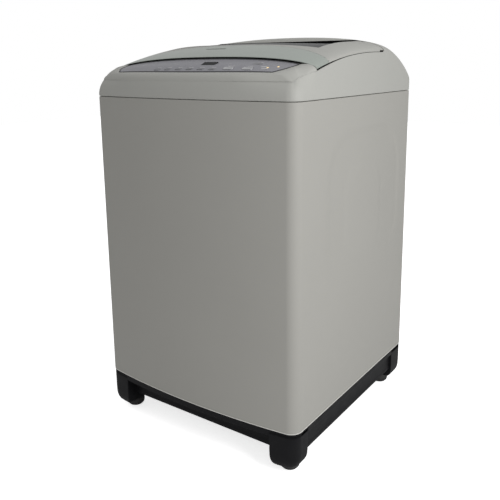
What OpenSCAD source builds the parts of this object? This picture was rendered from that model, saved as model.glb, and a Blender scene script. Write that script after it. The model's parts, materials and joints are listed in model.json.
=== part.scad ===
// Top load washing machine: sheet steel cabinet on a moulded base, a crowned top cover with a
// sloping control panel and a full width lid, and a hung tub with a basket, pulsator and belt drive.
// Origin: centre of the footprint, on the floor. +X right seen from the front, +Y back, +Z up.

/* [Cabinet] */
// Overall width
body_w = 600; // [560:5:640]
// Overall depth over the bowed front
body_d = 631; // [600:1:660]
// Height of the cabinet's lower edge above the floor
cabinet_z0 = 116; // [100:1:130]
// Height of the joint between cabinet and top cover
cabinet_z1 = 862; // [840:1:880]
// Radius of the vertical front corners
front_corner_r = 30; // [20:1:40]
// Radius of the vertical rear corners
rear_corner_r = 25; // [15:1:35]
// Radius of the front panel's outward bow
bow_r = 2075; // [1500:5:4000]
// Thickness of the cabinet's steel sheet
sheet = 1.2; // [0.8:0.1:2]

/* [Top cover] */
// Height of the shoulder line at the front
shoulder_front_z = 902; // [895:1:910]
// Height of the shoulder line beside the lid's hinge
shoulder_rear_z = 963; // [950:1:970]
// Height of the crown's centre line at the front
crown_front_z = 921; // [915:1:930]
// Height of the highest point of the crown
crown_rear_z = 1006.6; // [1000:0.1:1012]
// Wall of the moulded covers
wall = 3; // [2:0.5:4]

/* [Control panel] */
// Half width of the panel at its front edge
panel_half_w = 235; // [220:1:240]
// Travel of the keys
key_travel = 1; // [0.5:0.1:1.2]
// Number of small programme keys
key_count = 6; // [6:1:6]

/* [Lid] */
// Depth position of the hinge axis
hinge_y = 113; // [110:1:114]
// Height of the hinge axis
hinge_z = 983.5; // [982:0.5:985]
// Radius of the hinge pins
hinge_pin_r = 2.5; // [2:0.1:2.6]
// Half width of the window opening
window_half_w = 235; // [220:1:238]

/* [Tub and basket] */
// Outer radius of the tub
tub_r = 265; // [255:1:268]
// Underside of the tub
tub_z0 = 262; // [258:1:264]
// Upper rim of the tub
tub_z1 = 812; // [800:1:815]
// Outer radius of the basket
basket_r = 243; // [235:1:246]
// Radius of the pulsator
pulsator_r = 205; // [180:1:215]

/* [Drive] */
// Pitch radius of the large pulley's groove
drive_pulley_r = 75; // [70:1:78]
// Pitch radius of the motor pulley's groove
motor_pulley_r = 22; // [20:1:25]
// Distance from the basket axis to the motor axis
motor_x = -165; // [-170:1:-155]
// Running clearance of shafts in their bores
run = 0.05; // [0.02:0.01:0.08]

/* [Suspension and feet] */
// Position of the suspension rods from the centre
rod_pos = [245, 250];
// Radius of a suspension rod
rod_r = 4; // [3:0.5:5]
// Number of turns in a spring
spring_turns = 8; // [6:1:9]
// Radius of a foot's pad
foot_r = 24; // [20:1:26]

/* [Hidden] */
$fn = 64;
e = 0.01;
half_w = body_w / 2;
half_d = body_d / 2;
front_y0 = -half_d;
bow_y = front_y0 + bow_r;
fc_x = half_w - front_corner_r;
fc_y = bow_y - sqrt(pow(bow_r - front_corner_r, 2) - fc_x * fc_x);
rc_y = half_d - rear_corner_r;

// Outline of the cabinet seen from above, moved in by d
module plan(d = 0) {
  intersection() {
    translate([0, bow_y]) circle(r = bow_r - d, $fn = 240);
    translate([-fc_x - 4, front_y0 - 1]) square([2 * fc_x + 8, 60]);
  }
  for (s = [-1, 1]) {
    translate([s * fc_x, fc_y]) circle(r = front_corner_r - d);
    translate([s * (half_w - rear_corner_r), rc_y]) circle(r = rear_corner_r - d);
  }
  translate([-half_w + d, fc_y]) square([body_w - 2 * d, rc_y - fc_y]);
  translate([-half_w + rear_corner_r, rc_y - 10]) square([body_w - 2 * rear_corner_r, rear_corner_r + 10 - d]);
}

module plan_ring(outer, inner, z, h) {
  translate([0, 0, z]) linear_extrude(h) difference() {
    plan(outer);
    plan(inner);
  }
}

module block(x, y, z) {
  translate([x[0], y[0], z[0]]) cube([x[1] - x[0], y[1] - y[0], z[1] - z[0]]);
}

module tube(r_out, r_in, z0, z1) {
  translate([0, 0, z0]) difference() {
    cylinder(r = r_out, h = z1 - z0);
    translate([0, 0, -1]) cylinder(r = r_in, h = z1 - z0 + 2);
  }
}

module both_sides() {
  children();
  mirror([1, 0, 0]) children();
}

// ---- the crowned top surface: a shoulder line at the sides and a crown line at the centre
crown_y = 161;
shoulder_y = 126;
front_crease_y = -289;
roll = 26;
function lerp(a, b, t) = a + (b - a) * t;
function clamp01(t) = min(1, max(0, t));
function smooth(a, b, t) = let (k = clamp01((t - a) / (b - a))) k * k * (3 - 2 * k);
function power_roll(t, p) = pow(max(0, 1 - pow(clamp01(t), p)), 1 / p);
function shoulder(y) = y < shoulder_y
  ? shoulder_rear_z - (shoulder_rear_z - shoulder_front_z)
    * pow((shoulder_y - max(y, front_crease_y)) / (shoulder_y - front_crease_y), 2.37)
  : cabinet_z1 + (shoulder_rear_z - cabinet_z1) * power_roll((y - shoulder_y) / (half_d - shoulder_y), 2);
function crown(y) = y < crown_y
  ? crown_rear_z - (crown_rear_z - crown_front_z)
    * pow((crown_y - max(y, front_crease_y)) / (crown_y - front_crease_y), 2.4)
  : cabinet_z1 + (crown_rear_z - cabinet_z1) * power_roll((y - crown_y) / (half_d - crown_y), 2.2);
function side_x(y) = y < fc_y ? fc_x + sqrt(max(1, pow(front_corner_r, 2) - pow(y - fc_y, 2)))
  : y > rc_y ? half_w - rear_corner_r + sqrt(max(1, pow(rear_corner_r, 2) - pow(y - rc_y, 2))) : half_w;
function bow_front(x) = bow_y - sqrt(bow_r * bow_r - x * x);
function front_y(x) = let (a = abs(x)) a <= fc_x + 4 ? bow_front(a)
  : fc_y - sqrt(max(0, pow(front_corner_r, 2) - pow(min(a, half_w) - fc_x, 2)));
function front_roll(x, y) = let (v = clamp01((y - front_y(x)) / roll)) sqrt(1 - pow(1 - v, 2));
function top_z(x, y) = shoulder(y)
  + (crown(y) - shoulder(y)) * power_roll(abs(x) / side_x(y), 2.2) * front_roll(x, y);

// Edges of the panel and the lid, as depths at a given x
lid_side_x = half_w - 2.5;
function panel_front(x) = -289 + 13 * pow(x / panel_half_w, 2);
function lid_edge(x) = -203 - 12 * pow(x / lid_side_x, 4);
function grip_edge(x) = -103 - 58 * pow(abs(x) / lid_side_x, 2.6);
function panel_side(v) = panel_half_w + 22 * (1 - pow(1 - v, 2));
lid_rear_y = hinge_y + 3;
lid_flat_z = 985;
window_y = [-96, 105];
function lid_z(x, y) = let (s = top_z(x, y))
  s + (lid_flat_z - s) * smooth(-100, 60, y) * (1 - smooth(window_half_w - 13, window_half_w + 5, abs(x)));

// Closed skin over a grid: at(u, v) places a column, lower(p) gives the underside of a top point
module skin(at, height, lower, nu, nv, ring = false) {
  cols = ring ? nu : nu + 1;
  upper = [for (i = [0:cols - 1]) for (j = [0:nv]) let (p = at(i / nu, j / nv)) [p.x, p.y, height(p.x, p.y)]];
  n = len(upper);
  function k(i, j) = (i % cols) * (nv + 1) + j;
  top = [for (i = [0:nu - 1]) for (j = [0:nv - 1]) let (a = k(i, j), b = k(i + 1, j), c = k(i + 1, j + 1), d = k(i, j + 1))
    each [[a, d, c], [a, c, b]]];
  bottom = [for (f = top) [n + f[0], n + f[2], n + f[1]]];
  front = [for (i = [0:nu - 1]) let (a = k(i, 0), b = k(i + 1, 0)) each [[a, b, n + b], [a, n + b, n + a]]];
  rear = [for (i = [0:nu - 1]) let (a = k(i + 1, nv), b = k(i, nv)) each [[a, b, n + b], [a, n + b, n + a]]];
  left = ring ? [] : [for (j = [0:nv - 1]) let (a = k(0, j + 1), b = k(0, j)) each [[a, b, n + b], [a, n + b, n + a]]];
  right = ring ? [] : [for (j = [0:nv - 1]) let (a = k(nu, j), b = k(nu, j + 1)) each [[a, b, n + b], [a, n + b, n + a]]];
  polyhedron(points = concat(upper, [for (p = upper) lower(p)]), faces = concat(top, bottom, front, rear, left, right));
}

function across(u, half) = half * sin(90 * (2 * u - 1));

// ---- cabinet, base and feet
hem = 12;
rear_open_x = 262;
rear_open_z = [140, 838];
panel_y = half_d - sheet - 0.1;
flange_y = panel_y - sheet - 0.05;
screw_x = 250;
screw_z = [160, 375, 600, 820];
screw_r = 1.9;
module at_screws() {
  for (x = [-screw_x, screw_x], z = screw_z) translate([x, 0, z]) rotate([-90, 0, 0]) children();
}

module cabinet() {
  color([0.55, 0.55, 0.53]) {
    difference() {
      plan_ring(0, sheet, cabinet_z0, cabinet_z1 - cabinet_z0 - 0.5);
      block([-rear_open_x, rear_open_x], [half_d - 5, half_d + 1], rear_open_z);
    }
    plan_ring(sheet - e, hem, cabinet_z0, sheet);
    plan_ring(sheet - e, hem, cabinet_z1 - 0.5 - sheet, sheet);
    difference() {
      both_sides() {
        block([rear_open_x - e, rear_open_x + sheet], [flange_y - sheet, half_d - e], rear_open_z);
        block([rear_open_x - 22, rear_open_x + sheet], [flange_y - sheet, flange_y], rear_open_z);
      }
      at_screws() translate([0, 0, 300]) cylinder(r = screw_r + run, h = 20, $fn = 24);
    }
  }
}

inlet_x = [140, 190];
inlet_z = 808;
inlet_pocket = [[112, 218], [780, 834]];
drain_pocket = [[-236, -176], [148, 208]];
pocket_depth = 24;
module pocket(x, z) {
  difference() {
    block(x, [panel_y - pocket_depth, panel_y], z);
    block([x[0] + sheet, x[1] - sheet], [panel_y - pocket_depth + sheet, half_d], [z[0] + sheet, z[1] - sheet]);
  }
}

module rear_panel() {
  color([0.6, 0.6, 0.59]) difference() {
    union() {
      difference() {
        block([-rear_open_x + 0.5, rear_open_x - 0.5], [panel_y - sheet, panel_y], [rear_open_z[0] + 0.5, rear_open_z[1] - 0.5]);
        block(inlet_pocket[0], [280, 320], inlet_pocket[1]);
        block(drain_pocket[0], [280, 320], drain_pocket[1]);
      }
      pocket(inlet_pocket[0], inlet_pocket[1]);
      pocket(drain_pocket[0], drain_pocket[1]);
    }
    for (x = inlet_x) translate([x, 280, inlet_z]) rotate([-90, 0, 0]) cylinder(r = 15, h = 20);
    translate([-206, 280, 178]) rotate([-90, 0, 0]) cylinder(r = 17, h = 20);
    translate([-120, 300, 770]) rotate([-90, 0, 0]) cylinder(r = 9, h = 20);
    at_screws() translate([0, 0, 300]) cylinder(r = screw_r + 0.3, h = 20, $fn = 24);
  }
}

foot_pos = [256, -250];
rear_foot_pos = [256, 258];
pod_z = 30;
skirt_z = 51;
skirt_x = 292;
stem_r = 5;
module pod(y_out, y_in) {
  s = sign(y_out);
  hull() {
    translate([skirt_x - 25, y_out - s * 25, 107]) cylinder(r = 25, h = 1, $fn = 32);
    translate([233, y_out - s * 4, 107]) cylinder(r = 4, h = 1, $fn = 16);
    translate([skirt_x - 4, y_in, 107]) cylinder(r = 4, h = 1, $fn = 16);
    translate([229, y_in, 107]) cylinder(r = 4, h = 1, $fn = 16);
    translate([262, y_out - s * 31, pod_z]) cylinder(r = 22, h = 1, $fn = 32);
    translate([236, y_out - s * 13, pod_z]) cylinder(r = 4, h = 1, $fn = 16);
    translate([280, y_in - s * 3, pod_z]) cylinder(r = 4, h = 1, $fn = 16);
    translate([236, y_in - s * 3, pod_z]) cylinder(r = 4, h = 1, $fn = 16);
  }
}

module base_frame() {
  color([0.06, 0.06, 0.06]) difference() {
    union() {
      difference() {
        translate([0, 0, 107]) linear_extrude(8.9) plan(6);
        block([-256, 256], [-262, 276], [100, 120]);
      }
      both_sides() {
        block([skirt_x - 3, skirt_x], [-240, 240], [skirt_z, 108]);
        pod(-293, -237);
        pod(297, 240);
      }
      block([-232, 232], [-272, -269], [skirt_z, 108]);
      block([-232, 232], [283, 286], [skirt_z, 108]);
    }
    both_sides() {
      translate([foot_pos.x, foot_pos.y, 0]) cylinder(r = stem_r + run, h = 120);
      translate([rear_foot_pos.x, rear_foot_pos.y, 0]) cylinder(r = stem_r + run, h = 120);
    }
  }
}

module foot_pad() {
  rotate_extrude() polygon([[0, 0], [foot_r - 2, 0], [foot_r, 2], [foot_r, 9], [foot_r - 7, 14], [0, 14]]);
}

module front_foot(x) {
  color([0.09, 0.09, 0.09]) translate([x, foot_pos.y, 0]) {
    foot_pad();
    cylinder(r = stem_r, h = 84);
    translate([0, 0, 17]) cylinder(r = 9, h = 7, $fn = 6);
  }
}

module front_foot_left() { front_foot(-foot_pos.x); }
module front_foot_right() { front_foot(foot_pos.x); }
module rear_feet() {
  color([0.09, 0.09, 0.09]) both_sides() translate([rear_foot_pos.x, rear_foot_pos.y, 0]) {
    foot_pad();
    cylinder(r = 15, h = pod_z);
    cylinder(r = stem_r, h = 70);
  }
}

module cabinet_screws() {
  color([0.7, 0.7, 0.7]) at_screws() {
    translate([0, 0, panel_y]) cylinder(r = 4.2, h = 1.1);
    translate([0, 0, panel_y - 9]) cylinder(r = screw_r, h = 9);
  }
}

// ---- top cover and rear hood
cover_z0 = cabinet_z1 + 0.5;
floor_drop = 6;
hood_y = hinge_y + 12;
crease_steps = 36;
crease_points = [for (i = [0:crease_steps]) let (y = lerp(-320, half_d, sin(90 * i / crease_steps))) [y, shoulder(y)]];
ledge_y = [-213, hood_y];
module in_profile(x) {
  translate([x[0], 0, 0]) rotate([90, 0, 90]) linear_extrude(x[1] - x[0]) children();
}
module under_crease(x) {
  in_profile(x) polygon(concat([[-330, cover_z0], [-330, shoulder_front_z]],
    [for (p = crease_points) let (k = p[0] > hood_y ? 1.5 : 0) [p[0] - k, max(p[1] - 0.8 * k, cover_z0)]]));
}
module ledge(x, drop, thick) {
  points = [for (p = crease_points) if (p[0] > ledge_y[0] && p[0] < ledge_y[1]) [p[0], p[1] - drop]];
  n = len(points) - 1;
  in_profile(x) polygon(concat(points, [for (i = [n:-1:0]) points[i] - [0, thick]]));
}

// Path along the panel's sides and front, and the cover's edge outside it
side_share = 0.225;
function rim_inner(u) = u < side_share ? let (v = 1 - u / side_share, w = panel_side(v)) [w, lerp(panel_front(w), lid_edge(w) - 1.5, v)]
  : u > 1 - side_share ? let (p = rim_inner(1 - u)) [-p.x, p.y]
  : let (x = lerp(panel_half_w, -panel_half_w, (u - side_share) / (1 - 2 * side_share))) [x, panel_front(x)];
rim_x = half_w - 0.8;
rim_corner = 62;
function rim_outer(u) = u < side_share / 2 ? [rim_x, lerp(-216, fc_y, 2 * u / side_share)]
  : u < side_share ? let (a = rim_corner * (2 * u / side_share - 1)) [fc_x + (front_corner_r - 0.8) * cos(a), fc_y - (front_corner_r - 0.8) * sin(a)]
  : u > 1 - side_share ? let (p = rim_outer(1 - u)) [-p.x, p.y]
  : let (x = lerp(fc_x + front_corner_r * cos(rim_corner), -fc_x - front_corner_r * cos(rim_corner), (u - side_share) / (1 - 2 * side_share)))
    [x, front_y(x) + 0.8];
function rim_at(u, v) = let (a = rim_inner(u), b = rim_outer(u), t = sin(90 * v)) [lerp(a.x, b.x, t), lerp(a.y, b.y, t)];
function panel_at(u, v, grow) = let (w = panel_side(v) + grow, x = (2 * u - 1) * w)
  [x, lerp(panel_front(x) - grow, lid_edge(x) - 1.5, v)];

module top_cover() {
  color([0.56, 0.56, 0.54]) {
    intersection() {
      plan_ring(0, wall, cover_z0, 120);
      under_crease([-half_w - 1, half_w + 1]);
    }
    both_sides() ledge([283, half_w - wall + 0.5], 8, 3);
    skin(function (u, v) rim_at(u, v), function (x, y) top_z(x, y), function (p) [p.x, p.y, p.z - 9], 40, 7);
    skin(function (u, v) panel_at(u, v, 7), function (x, y) top_z(x, y) - floor_drop,
      function (p) [p.x, p.y, p.z - 3], 20, 5);
  }
}

module rear_hood() {
  color([0.58, 0.58, 0.56]) {
    skin(function (u, v) let (y = lerp(hood_y, half_d - 0.05, sin(90 * v))) [across(u, side_x(y) - 0.9), y],
      function (x, y) top_z(x, y),
      function (p) [p.x * 0.988, p.y - 3, max(p.z - 4, shoulder(p.y - 3) + 2.5)], 24, 12);
    translate([0, hood_y + 3, 0]) rotate([90, 0, 0]) linear_extrude(3) polygon(concat(
      [[-290, 909], [290, 909]],
      [for (i = [0:24]) let (x = across(1 - i / 24, 290)) [x, top_z(x, hood_y) - 2.5]]));
  }
}

// ---- loading tray under the lid
tray_z = 905;
tray_y = [-207, 124];
mouth_r = 222;
mouth_y = [-185, 100];
module mouth(d, z, h) {
  translate([0, 0, z]) linear_extrude(h) intersection() {
    circle(r = mouth_r + d, $fn = 96);
    translate([-mouth_r - d, mouth_y[0] - d]) square([2 * (mouth_r + d), mouth_y[1] - mouth_y[0] + 2 * d]);
  }
}

drawer_x = [-160, -30];
drawer_y = [103, 222];
drawer_z = [869, 899];
module loading_tray() {
  color([0.82, 0.82, 0.8]) difference() {
    union() {
      intersection() {
        translate([0, 0, tray_z]) linear_extrude(wall) plan(wall + 0.4);
        block([-300, 300], tray_y, [tray_z - 1, tray_z + 5]);
      }
      mouth(wall, 878, tray_z - 878 + 1);
      block([-252, 252], [tray_y[0], tray_y[0] + wall], [tray_z, 930]);
      block([-290, 290], [tray_y[1] - wall - 1, tray_y[1] - 1], [tray_z, 962]);
    }
    both_sides() block([bracket_x[0] - 0.5, bracket_x[1] + 0.5], [tray_y[1] - 6, tray_y[1] + 2], [914, 970]);
    mouth(0, 870, 60);
    block([drawer_x[0] - 3.5, drawer_x[1] + 3.5], [mouth_y[1] - 1, mouth_y[1] + 6], [870, 901]);
  }
}

// ---- control panel, display, keys and board
key_y = -273;
panel_slope = atan((crown(key_y + 2) - crown(key_y - 2)) / 4);
key_x0 = -101;
key_pitch = 33;
option_pos = [164, -237];
power_pos = [107, -268];
start_pos = [157, -266];
display_pos = [35, -244];
module on_panel(p) {
  translate([p.x, p.y, top_z(p.x, p.y)]) rotate([panel_slope, 0, 0]) children();
}

module slot_shape(w, d, grow, z0, z1) {
  r = d / 2 + grow;
  translate([0, 0, z0]) {
    for (s = [-1, 1]) translate([s * (w - d) / 2, 0, 0]) cylinder(r = r, h = z1 - z0, $fn = 32);
    translate([-(w - d) / 2, -r, 0]) cube([w - d, 2 * r, z1 - z0]);
  }
}

small_key = [19, 7];
option_key_size = [24, 10];
button_size = [27, 13];
key_gap = 0.5;
module control_panel() {
  color([0.47, 0.47, 0.49]) difference() {
    skin(function (u, v) panel_at(u, v, -0.9), function (x, y) top_z(x, y),
      function (p) [p.x, p.y, p.z - 3.5], 24, 6);
    for (i = [0:key_count - 1]) on_panel([key_x0 + i * key_pitch, key_y]) slot_shape(small_key[0], small_key[1], key_gap, -9, 5);
    on_panel(option_pos) slot_shape(option_key_size[0], option_key_size[1], key_gap, -9, 5);
    for (p = [power_pos, start_pos]) on_panel(p) slot_shape(button_size[0], button_size[1], key_gap, -9, 5);
    on_panel(display_pos) translate([-20.1, -8.6, -9]) cube([40.2, 17.2, 14]);
  }
}

module display_window() {
  color([0.05, 0.05, 0.06]) on_panel(display_pos) translate([-20, -8.5, -4]) cube([40, 17, 4.2]);
}

module small_key_cap(i) {
  color([0.75, 0.75, 0.76]) on_panel([key_x0 + (i - 1) * key_pitch, key_y]) slot_shape(small_key[0], small_key[1], 0, -4.2, 0.9);
}

module key_1() { small_key_cap(1); }
module key_2() { small_key_cap(2); }
module key_3() { small_key_cap(3); }
module key_4() { small_key_cap(4); }
module key_5() { small_key_cap(5); }
module key_6() { small_key_cap(6); }
module option_key() {
  color([0.75, 0.75, 0.76]) on_panel(option_pos) slot_shape(option_key_size[0], option_key_size[1], 0, -3.4, 0.9);
}

module oval_button(p) {
  color([0.85, 0.85, 0.85]) on_panel(p) slot_shape(button_size[0], button_size[1], 0, -3.4, 1.3);
}

module power_button() { oval_button(power_pos); }
module start_button() { oval_button(start_pos); }
module control_board() {
  color([0.1, 0.35, 0.15]) translate([0, 0, 884]) {
    block([-170, 170], [-278, -222], [0, 1.8]);
    block([-140, -100], [-268, -236], [1.8, 14]);
    block([-60, -20], [-262, -240], [1.8, 9]);
    for (x = [60, 85, 110, 135]) translate([x, -250, 1.8]) cylinder(r = 8, h = 14);
  }
}

// ---- lid
rail_gap = 1;
bracket_x = [240, 250];
ear_r = 6;
function lid_lower(p, t) = [p.x, p.y, max(p.z - t, shoulder(p.y) + 1)];
function frame_inner(u) = let (s = floor(u * 4), t = u * 4 - s, w = window_half_w)
  s == 0 ? [lerp(-w, w, t), window_y[1]] : s == 1 ? [w, lerp(window_y[1], window_y[0], t)]
  : s == 2 ? [lerp(w, -w, t), window_y[0]] : [-w, lerp(window_y[0], window_y[1], t)];
function frame_outer(u) = let (s = floor(u * 4), t = u * 4 - s, w = lid_side_x)
  s == 0 ? [lerp(-w, w, t), lid_rear_y] : s == 1 ? [w, lerp(lid_rear_y, grip_edge(w), t)]
  : s == 2 ? let (x = lerp(w, -w, t)) [x, grip_edge(x)] : [-w, lerp(grip_edge(w), lid_rear_y, t)];
function frame_at(u, v) = let (q = u >= 1 ? 0 : u, a = frame_inner(q), b = frame_outer(q), t = sin(90 * v)) [lerp(a.x, b.x, t), lerp(a.y, b.y, t)];

module lid_frame() {
  color([0.56, 0.56, 0.54]) difference() {
    skin(function (u, v) frame_at(u, v), function (x, y) lid_z(x, y), function (p) lid_lower(p, 14), 64, 7, true);
    both_sides() block([bracket_x[0] - rail_gap, bracket_x[1] + rail_gap], [hinge_y - 13, lid_rear_y + 1], [940, 1010]);
  }
}

module lid_front() {
  color([0.56, 0.58, 0.55]) skin(function (u, v) let (x = across(u, lid_side_x)) [x, lerp(lid_edge(x), grip_edge(x) - 0.6, v)],
    function (x, y) top_z(x, y), function (p) lid_lower(p, 10), 28, 7);
}

module lid_window() {
  color([0.12, 0.13, 0.14, 0.6]) skin(
    function (u, v) [lerp(-1, 1, u) * (window_half_w - 0.4), lerp(window_y[0] + 0.4, window_y[1] - 0.4, v)],
    function (x, y) lid_z(x, y) - 3, function (p) [p.x, p.y, p.z - 4], 18, 10);
}

module hinge_pins() {
  color([0.75, 0.75, 0.75]) both_sides() translate([bracket_x[0] - 8, hinge_y, hinge_z]) rotate([0, 90, 0])
    cylinder(r = hinge_pin_r, h = bracket_x[1] - bracket_x[0] + 15);
}

module hinge_brackets() {
  w = bracket_x[1] - bracket_x[0];
  color([0.3, 0.3, 0.3]) both_sides() translate([bracket_x[0], 0, 0]) difference() {
    union() {
      translate([0, hinge_y, hinge_z]) rotate([0, 90, 0]) cylinder(r = ear_r, h = w);
      block([0, w], [hinge_y - 3, hood_y - 0.2], [hinge_z - ear_r - 6, hinge_z - 2]);
      block([0, w], [hinge_y + 8.2, hood_y - 0.2], [915, hinge_z - 2]);
    }
    translate([-1, hinge_y, hinge_z]) rotate([0, 90, 0]) cylinder(r = hinge_pin_r + run, h = w + 2);
  }
}

module lid_bumpers() {
  color([0.1, 0.1, 0.1]) both_sides() for (y = [-190, 60])
    translate([289, y, shoulder(y - 4) - 5]) cylinder(r = 4, h = 5.9);
}

// ---- water inlet and detergent drawer
duct_z = 884;
duct_r = 9;
duct_x = -95;
duct_y = 273;
duct_top = 45;
module inlet_valve() {
  color([0.9, 0.9, 0.88]) {
    for (x = inlet_x) translate([x, 0, inlet_z]) {
      rotate([-90, 0, 0]) difference() {
        union() {
          translate([0, 0, 294]) cylinder(r = 13.2, h = 18);
          translate([0, 0, 280]) cylinder(r = 12, h = 15);
        }
        translate([0, 0, 298]) cylinder(r = 8, h = 20);
      }
      translate([0, duct_y, 0]) cylinder(r = 12, h = 26);
    }
    block([128, 202], [262, 284], [inlet_z - 14, inlet_z + 8]);
    translate([165, duct_y, inlet_z]) cylinder(r = 8, h = duct_top);
  }
}

module inlet_duct() {
  color([0.2, 0.2, 0.2]) {
    translate([165, duct_y, inlet_z + duct_top + 0.1]) cylinder(r = duct_r, h = duct_z - inlet_z - duct_top - 0.1);
    translate([165, duct_y, duct_z]) sphere(r = duct_r);
    translate([duct_x, duct_y, duct_z]) rotate([0, 90, 0]) cylinder(r = duct_r, h = 165 - duct_x);
    translate([duct_x, duct_y, duct_z]) sphere(r = duct_r);
    translate([duct_x, duct_y, duct_z]) rotate([90, 0, 0]) cylinder(r = duct_r, h = duct_y - 228.1);
  }
}

module dispenser_housing() {
  color([0.8, 0.8, 0.78]) difference() {
    block([drawer_x[0] - 3, drawer_x[1] + 3], [106.5, 228], [drawer_z[0] - 3, drawer_z[1] + 3]);
    block([drawer_x[0] - 1, drawer_x[1] + 1], [100, 225], [drawer_z[0] - 1, drawer_z[1] + 1]);
  }
}

module dispenser_drawer() {
  color([0.35, 0.45, 0.6]) difference() {
    block(drawer_x, drawer_y, drawer_z);
    block([drawer_x[0] + 2, -97], [drawer_y[0] + 4, drawer_y[1] - 2], [drawer_z[0] + 2, drawer_z[1] + 1]);
    block([-95, drawer_x[1] - 2], [drawer_y[0] + 4, drawer_y[1] - 2], [drawer_z[0] + 2, drawer_z[1] + 1]);
    block([-110, -80], [drawer_y[0] - 1, drawer_y[0] + 2], [drawer_z[0] + 10, drawer_z[0] + 20]);
  }
}

// ---- tub, basket and pulsator
tub_wall = 3;
neck_r = 32;
drain_pos = [150, -70];
lug_z = [336, 350];
arm_angle = atan2(rod_pos.y, rod_pos.x);
module lugs(r, z) {
  both_sides() for (s = [-1, 1]) translate([rod_pos.x, s * rod_pos.y, z[0]]) cylinder(r = r, h = z[1] - z[0]);
}

module outer_tub() {
  color([0.78, 0.8, 0.82]) difference() {
    union() {
      translate([0, 0, tub_z0]) cylinder(r = tub_r, h = tub_z1 - tub_z0, $fn = 128);
      for (a = [arm_angle, 180 - arm_angle, 180 + arm_angle, -arm_angle]) rotate(a) block([240, 340], [-9, 9], [338, 348]);
      lugs(16, lug_z);
      translate([drain_pos.x, drain_pos.y, 246]) cylinder(r = 18, h = 18);
    }
    translate([0, 0, tub_z0 + 6]) cylinder(r = tub_r - tub_wall, h = 600, $fn = 128);
    translate([0, 0, 200]) cylinder(r = neck_r + 0.1, h = 80);
    translate([drain_pos.x, drain_pos.y, 240]) cylinder(r = 15, h = 40);
    lugs(rod_r + 1.5, [lug_z[0] - 1, lug_z[1] + 1]);
  }
}

module tub_cover() {
  color([0.85, 0.86, 0.87]) rotate_extrude($fn = 128) polygon([
    [226, 833], [226, 826], [230, 826], [230, 830], [tub_r - 3, 820], [tub_r - 3, tub_z1 + 0.1],
    [tub_r + 3, tub_z1 + 0.1], [tub_r + 3, 822], [tub_r, 825], [232, 835], [228, 835]]);
}

basket_z = [292, 770];
basket_wall = 1;
hole_rows = 4;
holes_around = 12;
module basket() {
  color([0.75, 0.76, 0.78]) difference() {
    tube(basket_r - 4, basket_r - 4 - basket_wall, basket_z[0] - 8, basket_z[1]);
    for (i = [0:hole_rows - 1], k = [0:holes_around - 1]) rotate((k + 0.25 + 0.5 * (i % 2)) * 360 / holes_around)
      translate([basket_r - 10, 0, 390 + i * 90]) rotate([0, 90, 0]) cylinder(r = 4, h = 12, $fn = 24);
  }
}

module basket_base() {
  color([0.5, 0.5, 0.52]) difference() {
    translate([0, 0, 282]) cylinder(r = basket_r - 4 - basket_wall, h = 8);
    translate([0, 0, 280]) cylinder(r = 17, h = 14);
    for (a = [0:30:330]) rotate(a) translate([150, 0, 280]) cylinder(r = 5, h = 14, $fn = 24);
  }
}

module balance_ring() {
  color([0.85, 0.86, 0.88]) rotate_extrude($fn = 128) polygon([
    [214, 772], [218, 768], [basket_r - 6, 768], [basket_r - 6, basket_z[1] + 0.1], [basket_r, basket_z[1] + 0.1],
    [basket_r, 800], [basket_r - 4, 804], [218, 806], [214, 802]]);
}

fin_count = 6;
pulsator_z = 294;
module pulsator() {
  color([0.8, 0.82, 0.85]) difference() {
    union() {
      rotate_extrude($fn = 96) polygon([[0, pulsator_z], [pulsator_r - 6, pulsator_z], [pulsator_r, pulsator_z + 6],
        [pulsator_r, pulsator_z + 12], [pulsator_r - 12, pulsator_z + 8], [70, pulsator_z + 14], [38, pulsator_z + 34], [0, pulsator_z + 34]]);
      for (i = [0:fin_count - 1]) rotate(i * 360 / fin_count) {
        block([30, 182], [-7, 7], [pulsator_z + 6, pulsator_z + 26]);
        translate([182, 0, pulsator_z + 6]) cylinder(r = 7, h = 20, $fn = 32);
      }
    }
    translate([0, 0, pulsator_z - 1]) cylinder(r = 10, h = 23);
    translate([0, 0, pulsator_z]) cylinder(r = 3.5, h = 40);
    translate([0, 0, pulsator_z + 28]) cylinder(r = 12, h = 10);
  }
}

module pulsator_screw() {
  color([0.75, 0.75, 0.75]) {
    translate([0, 0, pulsator_z + 28]) cylinder(r = 8, h = 4);
    translate([0, 0, 300]) cylinder(r = 3, h = pulsator_z + 28 - 300);
  }
}

module lint_filters() {
  color([0.9, 0.9, 0.92]) for (a = [30, 210]) rotate(a) difference() {
    block([206, 232], [-35, 35], [440, 600]);
    block([209, 229], [-31, 31], [444, 596]);
    for (z = [465:30:575], y = [-20, 0, 20]) translate([200, y, z]) rotate([0, 90, 0]) cylinder(r = 6, h = 15, $fn = 24);
  }
}

// ---- drive below the tub
shaft_r = 10;
spin_r = 17;
input_r = 8;
bearing_r = 26;
pulley_z = 100;
belt_h = 9;
module gearcase() {
  color([0.7, 0.7, 0.7]) difference() {
    union() {
      translate([0, 0, 150]) cylinder(r = 58, h = 90);
      translate([0, 0, 234]) cylinder(r = 85, h = 6);
      translate([0, 0, 240]) cylinder(r = neck_r, h = 27);
    }
    translate([0, 0, 158]) cylinder(r = 46, h = 38);
    translate([0, 0, 140]) cylinder(r = input_r + run, h = 20);
    translate([0, 0, 190]) cylinder(r = bearing_r, h = 80);
  }
}

module tub_bearings() {
  color([0.6, 0.6, 0.62]) {
    tube(bearing_r, spin_r + run, 200, 214);
    tube(bearing_r, spin_r + run, 248, 262);
  }
}

module tub_seal() {
  color([0.1, 0.1, 0.1]) {
    tube(bearing_r, spin_r + run, 263, 267);
    tube(neck_r, spin_r + run, 267, 272);
  }
}

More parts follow.
